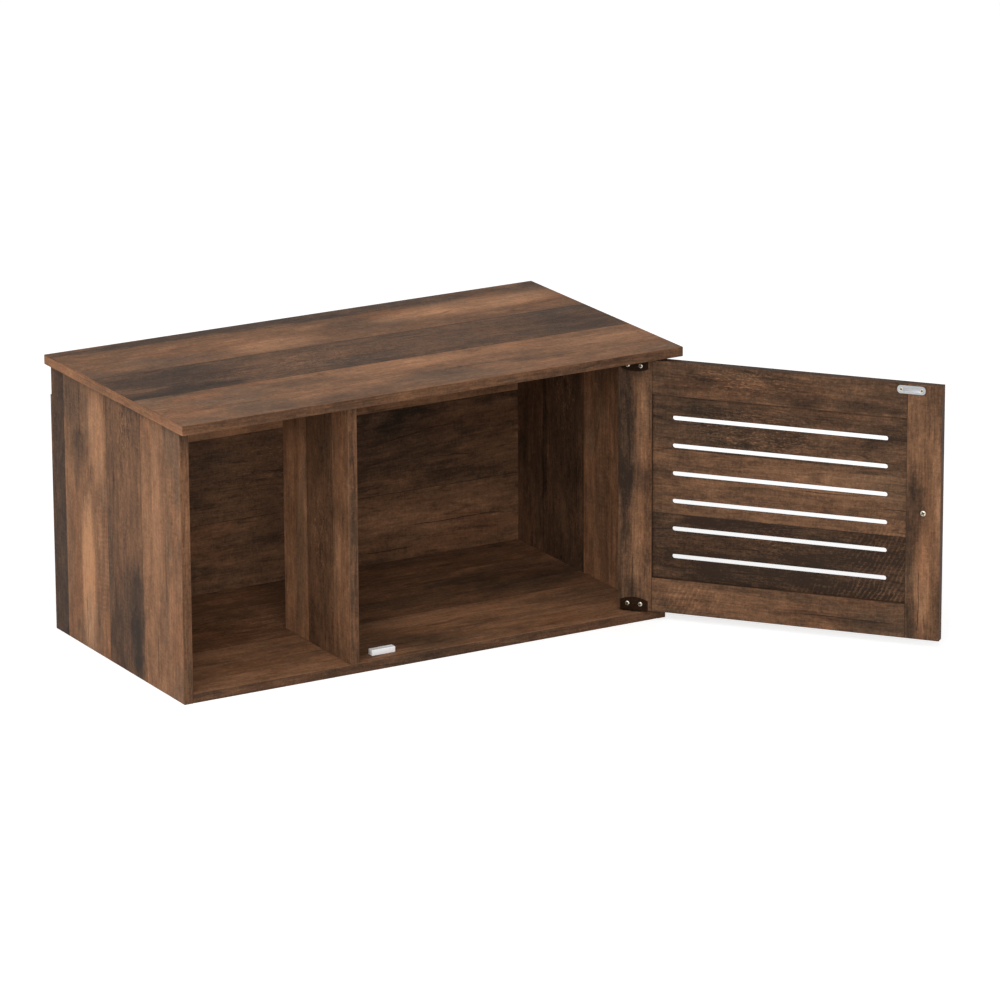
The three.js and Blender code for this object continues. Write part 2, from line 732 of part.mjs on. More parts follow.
// A thin board with a row of round-ended slots, held in the grooves of the frame.
function slottedPanel() {
  const reach = grooveDepth - 1;
  const outline = rectangle(
    handleStileInner - reach, hingeStileInner + reach,
    frameMemberWidth - reach, doorHeight - frameMemberWidth + reach,
  );
  const middleX = (handleStileInner + hingeStileInner) / 2;
  const slotLength = hingeStileInner - handleStileInner - 2 * slotEndMargin;
  const firstSlotZ = frameMemberWidth + slotRowMargin;
  const slotPitch = (doorHeight - 2 * firstSlotZ) / (slotCount - 1);
  for (let slot = 0; slot < slotCount; slot += 1) {
    const z = firstSlotZ + slot * slotPitch;
    outline.holes.push(stadium(new THREE.Path(), middleX, z, slotLength, slotHeight));
  }
  return upright(outline, -slottedPanelThickness / 2, slottedPanelThickness / 2);
}

// A round knob on a slim neck, turned about the way that it stands out.
function knob() {
  const headStart = knobProjection - knobHeadThickness;
  const profile = [
    [0, 0],
    [knobBaseRadius, 0],
    [knobBaseRadius, 1.5],
    [knobNeckRadius, 4],
    [knobNeckRadius, headStart - 3],
    [0.75 * knobRadius, headStart],
  ];
  const rimSteps = 7;
  const rimHeight = headStart + 0.35 * knobHeadThickness;
  for (let step = 0; step < rimSteps; step += 1) {
    const angle = ((step / rimSteps) * Math.PI) / 2;
    profile.push([knobRadius * Math.cos(angle) ** 0.7, rimHeight + 0.65 * knobHeadThickness * Math.sin(angle)]);
  }
  profile.push([0, knobProjection]);
  const hole = rod(clearOf(knobScrewShankRadius + seatGap, smallRoundSteps), -drillOverrun,
    knobScrewReach + seatGap, smallRoundSteps);
  return cut(turned(profile, fineRoundSteps), [hole]);
}

function strikePlate() {
  const outline = stadium(new THREE.Shape(), strikeX, strikeZ, strikePlateLength, strikePlateHeight);
  const plate = upright(outline, doorFace + seatGap, strikeOuterY, 0.3, 8);
  const countersinks = strikeScrewX.map((x) => turned([
    [0, -strikePlateThickness - drillOverrun],
    [strikeScrewShankRadius + seatGap, -strikePlateThickness - drillOverrun],
    [strikeScrewShankRadius + seatGap, -strikePlateThickness],
    [strikeScrewHeadRadius + seatGap, 0],
    [strikeScrewHeadRadius + seatGap, drillOverrun],
    [0, drillOverrun],
  ], roundSteps).applyMatrix4(onInnerFace(x, strikeZ, strikeOuterY)));
  return cut(plate, countersinks);
}

function buildDoor() {
  const door = new THREE.Group();
  const faces = [-doorFace, doorFace];
  const grooveEnds = [frameMemberWidth - grooveDepth, doorHeight - frameMemberWidth + grooveDepth];

  const hingeStile = board([hingeStileInner, doorHingeEdge], faces, [0, doorHeight], 'y');
  door.add(part('door_hinge_stile', cut(hingeStile, [
    grooveTool([hingeStileInner - drillOverrun, hingeStileInner + grooveDepth], grooveEnds),
    ...hingeStileTools(),
    ...drillingsOf('door_hinge_stile'),
  ]), brownLaminate));

  const handleStile = board([doorFreeEdge, handleStileInner], faces, [0, doorHeight], 'y');
  const knobHole = rod(clearOf(knobScrewShankRadius + seatGap, smallRoundSteps),
    -boardThickness - drillOverrun, drillOverrun, smallRoundSteps);
  const strikePilot = strikeScrewX.map((x) => pilotHole(strikeScrewShankRadius, strikeScrewLength)
    .applyMatrix4(onInnerFace(x, strikeZ)));
  door.add(part('door_handle_stile', cut(handleStile, [
    grooveTool([handleStileInner - grooveDepth, handleStileInner + drillOverrun], grooveEnds),
    knobHole.applyMatrix4(onInnerFace(knobX, doorHeight / 2)),
    ...strikePilot,
    ...drillingsOf('door_handle_stile'),
  ]), brownLaminate));

  const railX = [handleStileInner + seatGap, hingeStileInner - seatGap];
  const grooveX = [railX[0] - drillOverrun, railX[1] + drillOverrun];
  const topRail = board(railX, faces, [doorHeight - frameMemberWidth, doorHeight], 'y');
  door.add(part('door_top_rail', cut(topRail, [
    grooveTool(grooveX, [doorHeight - frameMemberWidth - drillOverrun, grooveEnds[1]]),
    ...strikePilot,
    ...drillingsOf('door_top_rail'),
  ]), brownLaminate));
  const bottomRail = board(railX, faces, [0, frameMemberWidth], 'y');
  door.add(part('door_bottom_rail', cut(bottomRail, [
    grooveTool(grooveX, [grooveEnds[0], frameMemberWidth + drillOverrun]),
    ...drillingsOf('door_bottom_rail'),
  ]), brownLaminate));

  door.add(part('door_slotted_panel', slottedPanel(), brownLaminate));
  door.add(buildHinge('lower'), buildHinge('upper'));

  const knobFrame = axisFrame(new THREE.Vector3(knobX, -doorFace - seatGap, doorHeight / 2), FRONT);
  door.add(part('door_knob', knob(), blackSteel, knobFrame));
  const knobScrewLength = boardThickness + 2 * seatGap + knobScrewReach;
  const knobScrew = panHeadScrew(knobScrewHeadRadius, knobScrewHeadHeight, knobScrewShankRadius, knobScrewLength);
  door.add(part('door_knob_screw', knobScrew, nickelSteel, onInnerFace(knobX, doorHeight / 2, doorFace + seatGap)));

  door.add(part('strike_plate', strikePlate(), nickelSteel));
  strikeScrewX.forEach((x, index) => {
    const screw = flushScrew(strikeScrewHeadRadius, strikePlateThickness, strikeScrewShankRadius, strikeScrewLength);
    const side = index === 0 ? 'stile' : 'rail';
    door.add(part(`strike_plate_screw_${side}`, screw, nickelSteel, onInnerFace(x, strikeZ, strikeOuterY)));
  });
  door.add(...dowelParts(({ name }) => name.startsWith('door_')));

  door.position.set(pivotX, pivotY, doorBottomZ);
  door.rotation.z = THREE.MathUtils.degToRad(doorOpening);
  return door;
}

const cabinet = new THREE.Group();
cabinet.add(buildCarcass(), buildDoor());

export default cabinet;
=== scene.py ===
"""Cat litter box cabinet: finishes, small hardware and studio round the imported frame."""

import json
import math

import bmesh
import bpy
from mathutils import Matrix, Vector


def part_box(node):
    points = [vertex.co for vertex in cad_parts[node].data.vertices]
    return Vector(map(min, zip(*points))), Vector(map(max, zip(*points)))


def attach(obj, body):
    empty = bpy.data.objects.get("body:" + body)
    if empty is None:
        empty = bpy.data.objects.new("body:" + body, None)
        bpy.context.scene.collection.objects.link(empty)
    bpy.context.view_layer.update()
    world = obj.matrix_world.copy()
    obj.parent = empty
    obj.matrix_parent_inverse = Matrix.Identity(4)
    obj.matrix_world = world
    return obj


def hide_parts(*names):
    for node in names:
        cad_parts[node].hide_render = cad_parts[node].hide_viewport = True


bl_info = {
    "name": "Cat Litter Box Cabinet",
    "version": (1, 0, 0),
    "blender": (4, 5, 0),
    "location": "View3D > Sidebar > Cabinet",
    "description": "Finishes a slotted-door litter box cabinet and sets up its studio",
    "category": "Object",
}

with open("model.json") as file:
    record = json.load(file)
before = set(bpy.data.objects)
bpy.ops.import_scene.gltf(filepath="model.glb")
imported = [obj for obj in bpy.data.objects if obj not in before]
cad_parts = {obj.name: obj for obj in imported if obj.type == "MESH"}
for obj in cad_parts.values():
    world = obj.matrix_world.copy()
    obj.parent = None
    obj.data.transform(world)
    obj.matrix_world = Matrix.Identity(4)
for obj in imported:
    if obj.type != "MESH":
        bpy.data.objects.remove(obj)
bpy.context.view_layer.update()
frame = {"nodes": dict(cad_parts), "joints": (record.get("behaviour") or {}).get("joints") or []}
NODES = frame["nodes"]
HINGE = frame["joints"][0]

MM = 0.001
X, Y, Z = Vector((1, 0, 0)), Vector((0, 1, 0)), Vector((0, 0, 1))

# The door stands open at rest. This is the turn from its closed place to there, about the pivots.
DOOR_OPENING = -HINGE["range_deg"][0]
DOOR_TURN = (
    Matrix.Translation(HINGE["pos_m"])
    @ Matrix.Rotation(math.radians(DOOR_OPENING), 4, "Z")
)


# -- Shader expressions ------------------------------------------------


def both_ways(operation):
    """The Math node's operation as a Python operator, and as its reflected form."""
    return (
        lambda self, other: self.math(operation, self, other),
        lambda self, other: self.math(operation, other, self),
    )


class Field:
    """A socket that carries a number over the surface, and takes part in Python sums."""

    def __init__(self, paint, socket):
        self.paint, self.socket = paint, socket

    def math(self, operation, *values):
        settings = {"operation": operation}
        return self.paint.node("ShaderNodeMath", settings, dict(enumerate(values)))

    __add__, __radd__ = both_ways("ADD")
    __sub__, __rsub__ = both_ways("SUBTRACT")
    __mul__, __rmul__ = both_ways("MULTIPLY")
    __truediv__, __rtruediv__ = both_ways("DIVIDE")
    __pow__, __rpow__ = both_ways("POWER")
    __gt__, __lt__ = both_ways("GREATER_THAN")

    def __abs__(self):
        return self.math("ABSOLUTE", self)

    def root(self):
        return self.math("SQRT", self)

    def wave(self):
        return self.math("SINE", self)

    def at_least(self, other):
        return self.math("MAXIMUM", self, other)

    def at_most(self, other):
        return self.math("MINIMUM", self, other)


class Paint:
    """The node tree of one material, or of one world."""

    def __init__(self, name, kind="materials"):
        self.owner = getattr(bpy.data, kind).new(name)
        self.owner.use_nodes = True
        self.tree = self.owner.node_tree
        self.tree.nodes.clear()

    def node(self, kind, settings=None, sockets=None, output=0):
        """Adds a node: its settings first, then the values or links of its sockets.

        Gives the output asked for, or a list of them for a tuple."""
        made = self.tree.nodes.new(kind)
        for key, value in (settings or {}).items():
            if key == "stops":
                self._set_stops(made.color_ramp, value)
            else:
                setattr(made, key, value)
        for key, value in (sockets or {}).items():
            if isinstance(value, Field):
                self.tree.links.new(value.socket, made.inputs[key])
            else:
                made.inputs[key].default_value = value
        if isinstance(output, tuple):
            return [Field(self, made.outputs[name]) for name in output]
        return Field(self, made.outputs[output]) if len(made.outputs) else None

    @staticmethod
    def _set_stops(ramp, stops):
        while len(ramp.elements) < len(stops):
            ramp.elements.new(1)
        for element, (position, colour) in zip(ramp.elements, stops):
            element.position = position
            element.color = (*colour, 1)

    def spot(self):
        """The object's own coordinates."""
        return self.node("ShaderNodeTexCoord", output="Object")

    def place(self, mapping):
        """The object's own coordinates, as three numbers, through a Mapping node."""
        return self.split(self.mapped(self.spot(), mapping))

    def facing(self, mapping):
        """The surface's own normal, as three numbers, through a Mapping node."""
        return self.split(self.mapped(self.node("ShaderNodeTexCoord", output="Normal"), mapping))

    def mapped(self, vector, mapping):
        kind, location, rotation = mapping
        sockets = {"Vector": vector, "Rotation": rotation}
        if kind != "NORMAL":
            sockets["Location"] = location
        return self.node("ShaderNodeMapping", {"vector_type": kind}, sockets)

    def split(self, vector):
        return self.node("ShaderNodeSeparateXYZ", sockets={0: vector}, output=("X", "Y", "Z"))

    def point(self, x, y, z=0.0):
        return self.node("ShaderNodeCombineXYZ", sockets={0: x, 1: y, 2: z})

    def noise(self, where, scale=1.0, detail=2.0, roughness=0.5, distortion=0.0):
        sockets = {
            "Vector": where,
            "Scale": scale,
            "Detail": detail,
            "Roughness": roughness,
            "Distortion": distortion,
        }
        return self.node("ShaderNodeTexNoise", sockets=sockets)

    def cells(self, where, scale, output="Distance"):
        return self.node(
            "ShaderNodeTexVoronoi", sockets={"Vector": where, "Scale": scale}, output=output
        )

    def ease(self, value, low, high, start=0.0, end=1.0):
        """A smooth step from start, where value is low, to end, where it is high."""
        sockets = {
            "Value": value,
            "From Min": low,
            "From Max": high,
            "To Min": start,
            "To Max": end,
        }
        return self.node("ShaderNodeMapRange", {"interpolation_type": "SMOOTHSTEP"}, sockets)

    def ramp(self, value, stops):
        return self.node("ShaderNodeValToRGB", {"stops": stops}, {"Fac": value})

    def blend(self, share, first, second):
        """Two numbers."""
        return self.node("ShaderNodeMix", {"data_type": "FLOAT"}, {0: share, 2: first, 3: second})

    def mix(self, share, first, second, how="MIX"):
        """Two colours."""
        settings = {"data_type": "RGBA", "blend_type": how}
        colours = {
            key: value if isinstance(value, Field) else (*value, 1)
            for key, value in ((6, first), (7, second))
        }
        return self.node("ShaderNodeMix", settings, {0: share, **colours}, output=2)

    def bump(self, height, distance, strength=1.0):
        sockets = {"Height": height, "Distance": distance, "Strength": strength}
        return self.node("ShaderNodeBump", sockets=sockets)

    def surface(self, **sockets):
        """Closes the tree with a Principled shader, and returns the material."""
        named = {key.replace("_", " "): value for key, value in sockets.items()}
        for key in ("Base Color", "Emission Color"):
            if key in named and not isinstance(named[key], Field):
                named[key] = (*named[key], 1)
        shader = self.node("ShaderNodeBsdfPrincipled", sockets=named)
        self.node("ShaderNodeOutputMaterial", sockets={"Surface": shader})
        return self.owner


def turn_to(along, across):
    """The rotation of a board's own frame: along its grain, across it, and out of its face."""
    return Matrix((along, across, along.cross(across))).transposed()


# -- Brown plank laminate ----------------------------------------------


class LaminateSettings(bpy.types.PropertyGroup):
    dark: bpy.props.FloatVectorProperty(
        name="Dark", description="Darkest brown of the print, at tone 0", subtype="COLOR", size=3,
        default=(0.031, 0.017, 0.010),
    )
    umber: bpy.props.FloatVectorProperty(
        name="Umber", description="Brown of the print at tone 0.25", subtype="COLOR", size=3,
        default=(0.090, 0.046, 0.025),
    )
    middle: bpy.props.FloatVectorProperty(
        name="Middle", description="Brown of the print at tone 0.5", subtype="COLOR", size=3,
        default=(0.191, 0.094, 0.048),
    )
    tan: bpy.props.FloatVectorProperty(
        name="Tan", description="Brown of the print at tone 0.75", subtype="COLOR", size=3,
        default=(0.336, 0.166, 0.085),
    )
    light: bpy.props.FloatVectorProperty(
        name="Light", description="Lightest brown of the print, at tone 1", subtype="COLOR",
        size=3, default=(0.540, 0.268, 0.133),
    )
    smoke: bpy.props.FloatVectorProperty(
        name="Smoke", description="Cool cast of the smoked patches", subtype="COLOR", size=3,
        default=(0.76, 0.90, 1.00),
    )
    seam: bpy.props.FloatProperty(
        name="Seam width", description="Width of the printed line between two planks",
        default=1.1 * MM, unit="LENGTH",
    )
    saw_pitch: bpy.props.FloatProperty(
        name="Saw mark pitch", description="From one printed saw mark to the next",
        default=8.2 * MM, unit="LENGTH",
    )
    pore_depth: bpy.props.FloatProperty(
        name="Pore depth", description="Depth of the grain that is pressed into the laminate",
        default=0.05 * MM, unit="LENGTH",
    )
    roughness: bpy.props.FloatProperty(
        name="Roughness", description="Roughness of the laminate", subtype="FACTOR", default=0.62,
        min=0, max=1,
    )


class Board:
    """How one board's print lies: its frame, the planks across it and what stands out on them.

    Places are in metres along the grain and across it, from the board's corner. A mark, a figured
    patch or a sawn patch is (along, across, length, width, change of tone), and a crack is (along,
    across, length). The tones run from the first plank to the last."""

    def __init__(
        self, along, across, tones=(0.5,), seams=(), edge_tone=0.32, end_tone=None, saw_lean=0.15,
        far_shade=0.0, seed=0.0, marks=(), figure=(), sawn=(), cracks=(),
    ):
        self.along, self.across, self.seed = along, across, seed
        self.seams, self.tones = seams, tones
        self.edge_tone = edge_tone
        self.end_tone = edge_tone if end_tone is None else end_tone
        self.far_shade = far_shade  # how much the face on the far side differs in tone
        self.marks, self.figure, self.cracks = marks, figure, cracks
        self.sawn, self.saw_lean = sawn, saw_lean

    def mappings(self, node):
        """The Mapping nodes that bring a point and a normal of the node into the board's frame."""
        on_door = node in DOOR_BOARDS
        low, high = closed_box(node) if on_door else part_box(node)
        way = self.along + self.across
        corner = Vector([high[axis] if way[axis] < 0 else low[axis] for axis in range(3)])
        frame_of = turn_to(self.along, self.across)
        if on_door:
            frame_of = DOOR_TURN.to_3x3() @ frame_of
            corner = DOOR_TURN @ corner
        place = ("TEXTURE", corner, frame_of.to_euler())
        normal = ("NORMAL", None, frame_of.transposed().to_euler())
        return place, normal


# The prints of the cabinet's body.
CARCASS_BOARDS = {
    "top_panel": Board(
        X, Y, tones=(0.56, 0.30, 0.48), seams=(0.167, 0.310), edge_tone=0.28, end_tone=0.62,
        seed=1.3,
        marks=(
            (0.46, 0.135, 0.28, 0.06, 0.16), (0.28, 0.130, 0.12, 0.05, -0.10),
            (0.30, 0.020, 0.24, 0.05, -0.12), (0.60, 0.070, 0.26, 0.03, -0.12),
            (0.82, 0.11, 0.20, 0.05, 0.08), (0.08, 0.185, 0.24, 0.05, -0.20),
            (0.12, 0.25, 0.28, 0.11, -0.16), (0.30, 0.24, 0.26, 0.10, 0.10),
            (0.58, 0.24, 0.24, 0.10, 0.05), (0.82, 0.215, 0.18, 0.08, -0.14),
            (0.34, 0.350, 0.17, 0.08, 0.26), (0.74, 0.395, 0.40, 0.08, 0.30),
            (0.10, 0.37, 0.22, 0.07, 0.04), (0.45, 0.467, 0.95, 0.05, -0.28),
            (0.51, 0.41, 0.09, 0.12, -0.08),
        ),
        figure=((0.38, 0.245, 0.20, 0.10, 0.22), (0.22, 0.22, 0.26, 0.08, 0.14)),
        sawn=((0.12, 0.10, 0.24, 0.12, 0.04),),
        cracks=((0.50, 0.078, 0.14), (0.64, 0.060, 0.12)),
    ),
    "bottom_panel": Board(
        X, Y, tones=(0.55, 0.43, 0.42), seams=(0.181, 0.353), edge_tone=0.25, seed=4.1,
        marks=(
            (0.52, 0.15, 0.30, 0.06, 0.14), (0.62, 0.11, 0.30, 0.10, 0.05),
            (0.12, 0.08, 0.24, 0.12, -0.04), (0.12, 0.16, 0.22, 0.06, 0.08),
            (0.42, 0.055, 0.26, 0.06, -0.12), (0.62, 0.085, 0.22, 0.02, -0.14),
            (0.76, 0.30, 0.24, 0.12, -0.14), (0.16, 0.31, 0.20, 0.08, -0.03),
            (0.30, 0.40, 0.16, 0.06, 0.12),
        ),
        figure=((0.24, 0.27, 0.30, 0.12, 0.18), (0.52, 0.25, 0.26, 0.10, 0.12)),
        cracks=((0.50, 0.095, 0.18), (0.66, 0.062, 0.14)),
    ),
    "left_side_panel": Board(
        Z, Y, tones=(0.58, 0.40, 0.58, 0.20), seams=(0.135, 0.255, 0.406), edge_tone=0.38, seed=2.6,
        marks=(
            (0.30, 0.085, 0.30, 0.035, 0.12), (0.10, 0.158, 0.24, 0.050, -0.28),
            (0.06, 0.20, 0.18, 0.10, -0.14), (0.04, 0.225, 0.12, 0.06, -0.06),
            (0.13, 0.328, 0.28, 0.050, 0.38), (0.36, 0.29, 0.16, 0.06, 0.26),
            (0.38, 0.370, 0.22, 0.06, -0.20), (0.34, 0.34, 0.05, 0.08, -0.10),
            (0.10, 0.39, 0.22, 0.03, -0.06), (0.24, 0.215, 0.20, 0.05, 0.05),
        ),
        figure=((0.40, 0.195, 0.10, 0.06, 0.26), (0.28, 0.20, 0.18, 0.07, 0.12)),
        sawn=((0.16, 0.275, 0.26, 0.05, 0.07), (0.34, 0.02, 0.20, 0.05, 0.05)),
        cracks=((0.13, 0.054, 0.15), (0.01, 0.086, 0.09), (0.0, 0.336, 0.10)),
    ),
    "right_side_panel": Board(
        Z, Y, tones=(0.42, 0.53, 0.23, 0.31), seams=(0.122, 0.234, 0.365), seed=7.7,
        marks=(
            (0.40, 0.405, 0.16, 0.08, 0.16), (0.36, 0.31, 0.20, 0.10, 0.12),
            (0.20, 0.360, 0.26, 0.018, -0.16), (0.20, 0.215, 0.26, 0.035, 0.14),
            (0.40, 0.17, 0.12, 0.08, -0.10), (0.10, 0.15, 0.20, 0.03, -0.06),
        ),
        figure=((0.30, 0.295, 0.16, 0.08, 0.18),),
        sawn=((0.20, 0.17, 0.20, 0.05, 0.05),),
        cracks=((0.04, 0.175, 0.16), (0.16, 0.155, 0.10)),
    ),
    "divider_panel": Board(
        Z, Y, tones=(0.50, 0.35, 0.70), seams=(0.055, 0.139), edge_tone=0.31, seed=5.2,
        marks=(
            (0.16, 0.04, 0.18, 0.03, 0.12), (0.24, 0.03, 0.05, 0.06, -0.10),
            (0.22, 0.155, 0.24, 0.03, 0.10), (0.40, 0.18, 0.10, 0.05, -0.08),
        ),
        figure=((0.20, 0.10, 0.16, 0.07, 0.22),),
        cracks=((0.02, 0.06, 0.10),),
    ),
    "back_panel": Board(
        X, Z, tones=(0.36, 0.34, 0.84), seams=(0.133, 0.277), far_shade=-0.14, seed=3.4,
        marks=(
            (0.05, 0.35, 0.46, 0.16, 0.16), (0.66, 0.36, 0.90, 0.17, -0.42),
            (0.16, 0.10, 0.24, 0.06, 0.14), (0.24, 0.055, 0.16, 0.02, -0.14),
            (0.60, 0.09, 0.30, 0.05, 0.06), (0.66, 0.20, 0.30, 0.11, -0.12),
            (0.40, 0.235, 0.20, 0.05, 0.08), (0.70, 0.262, 0.46, 0.03, 0.08),
        ),
        figure=((0.12, 0.20, 0.24, 0.11, 0.30), (0.42, 0.22, 0.24, 0.10, 0.12)),
        cracks=((0.64, 0.072, 0.20), (0.55, 0.036, 0.12)),
    ),
    "back_rail": Board(X, Z, tones=(0.45,), edge_tone=0.3, seed=9.6),
}

# The prints of the closed door, whose free edge lies towards -X.
DOOR_BOARDS = {
    "door_hinge_stile": Board(
        Z, -X, tones=(0.34,), edge_tone=0.16, seed=6.8,
        marks=(
            (0.30, 0.010, 0.30, 0.034, -0.24), (0.31, 0.041, 0.16, 0.020, 0.20),
            (0.13, 0.033, 0.20, 0.024, 0.18), (0.22, 0.040, 0.05, 0.04, -0.12),
            (0.41, 0.03, 0.04, 0.08, -0.12), (0.02, 0.02, 0.06, 0.05, -0.12),
        ),
        cracks=((0.01, 0.024, 0.09),),
    ),
    "door_handle_stile": Board(
        Z, -X, tones=(0.37,), edge_tone=0.16, seed=9.3,
        marks=(
            (0.25, 0.050, 0.18, 0.018, 0.22), (0.20, 0.014, 0.16, 0.03, -0.16),
            (0.10, 0.028, 0.18, 0.028, 0.28), (0.38, 0.02, 0.06, 0.04, 0.05),
            (0.04, 0.01, 0.06, 0.03, -0.14),
        ),
        cracks=((0.0, 0.022, 0.12),),
    ),
    "door_top_rail": Board(
        -X, Z, tones=(0.28,), edge_tone=0.14, seed=2.7,
        marks=((0.06, 0.03, 0.10, 0.04, -0.10), (0.30, 0.01, 0.24, 0.02, -0.10)),
        figure=((0.16, 0.035, 0.18, 0.05, 0.16),),
    ),
    "door_bottom_rail": Board(
        -X, Z, tones=(0.36,), edge_tone=0.14, saw_lean=-0.5, seed=2.4,
        marks=((0.08, 0.03, 0.14, 0.04, 0.08), (0.30, 0.022, 0.20, 0.016, -0.10)),
        sawn=((0.06, 0.03, 0.12, 0.06, 0.10),), cracks=((0.23, 0.022, 0.19),),
    ),
    "door_slotted_panel": Board(
        -X, Z, tones=(0.11, 0.34, 0.24), seams=(0.116, 0.225), edge_tone=0.10, saw_lean=-0.5,
        seed=5.9,
        marks=(
            (0.33, 0.195, 0.34, 0.05, 0.16), (0.06, 0.19, 0.10, 0.05, -0.06),
            (0.14, 0.108, 0.20, 0.02, -0.06), (0.30, 0.060, 0.16, 0.05, -0.07),
            (0.16, 0.028, 0.36, 0.06, -0.18), (0.38, 0.29, 0.20, 0.04, -0.10),
            (0.06, 0.29, 0.12, 0.04, -0.08),
        ),
        figure=((0.18, 0.265, 0.22, 0.07, 0.16), (0.21, 0.09, 0.10, 0.06, 0.14)),
        sawn=((0.40, 0.07, 0.15, 0.15, 0.15), (0.34, 0.012, 0.26, 0.04, 0.13)),
        cracks=((0.24, 0.176, 0.12), (0.39, 0.160, 0.06), (0.10, 0.112, 0.20)),
    ),
}

# The layers of the print: how long and wide their blots are in millimetres, their place in the
# noise, its detail, roughness and distortion, and how much they change the tone.
LAYERS = {
    "smoke": (260, 95, 5, 4, 0.58, 0.4, 0.50),
    "cloud": (70, 34, 3, 3, 0.6, 0.0, 0.50),
    "mottle": (17, 9, 7, 3, 0.6, 0.6, 0.34),
    "streak": (120, 8, 9, 3, 0.6, 0.0, 0.40),
    "fibre": (44, 2.6, 12, 3, 0.64, 0.0, 0.40),
    "scrape": (2.6, 15, 4, 2, 0.6, 0.8, 0.22),
    "speckle": (4.5, 3.2, 11, 2, 0.6, 0.5, 0.38),
    "strand": (18, 4, 1, 3, 0.6, 2.4, 0.0),
    "pore": (16, 0.7, 2, 1, 0.6, 0.0, 0.0),
    "vein": (480, 45, 6, 2, 0.4, 0.0, 0.0),
    "redness": (240, 70, 8, 2, 0.6, 0.0, 0.0),
}
REDDISH = (0.97, 0.84, 0.76)  # multiplies the brown where the print is redder
ARRIS_CORE = (0.060, 0.034, 0.021)  # the board's core, where a corner is eased
SEAM_RIPPLE = 0.6 * MM  # how far the line between two planks wavers
CRACK_WANDER = 8 * MM  # how far a crack strays from straight
GRAIN_DRIFT = 24 * MM  # how far the grain strays sideways
PLANK_SHIFT = 3.71  # from one plank to the next through the noise, so no two look alike


def soft_patch(paint, along, across, patch, wobble):
    """1 inside a long soft-edged patch, 0 outside it."""
    at_along, at_across, length, width = patch[:4]
    off_along, off_across = (along - at_along) / (length / 2), (across - at_across) / (width / 2)
    reach = (off_along ** 2 + off_across ** 2).root()
    return paint.ease(reach + wobble, 0.55, 1.25, 1, 0)


def hairline(paint, along, across, crack, wander, half_width=0.55 * MM):
    """A thin crack along the grain that tapers to its ends."""
    at_along, at_across, length = crack
    from_middle = abs(along - (at_along + length / 2))
    taper = paint.ease(from_middle, 0.25 * length, 0.5 * length, 1, 0.05)
    off = abs(across - at_across + wander)
    return paint.ease(off / (taper * half_width), 0.5, 1.6, 1, 0) * (from_middle < length / 2)


def planks(paint, board, along, across, seam_width):
    """The tone of the planks, the lines between them, and each plank's place in the noise."""
    tone, seam_line, plank = board.tones[0], 0.0, 0.0
    ripple = (paint.noise(paint.point(along * 9, board.seed), detail=2) - 0.5) * SEAM_RIPPLE
    for seam, before, after in zip(board.seams, board.tones, board.tones[1:]):
        past = (across + ripple) > seam
        plank = past + plank
        tone = past * (after - before) + tone
        line = paint.ease(abs(across + ripple - seam), 0.3 * seam_width, seam_width, 1, 0)
        seam_line = line + seam_line
    return tone, seam_line, plank * PLANK_SHIFT + board.seed


def print_layers(paint, along, across, shift):
    """The layers of the print: noise around 0, drawn out along a grain that drifts sideways."""
    bend = paint.noise(paint.point(along * 3, across * 6, shift), detail=3, roughness=0.55) - 0.5
    grain = across + bend * GRAIN_DRIFT
    layers = {}
    for layer, (length, width, place, *noise, _) in LAYERS.items():
        where = paint.point(along * (1000 / length), grain * (1000 / width), shift + place)
        layers[layer] = paint.noise(where, 1.0, *noise) - 0.5
    return layers


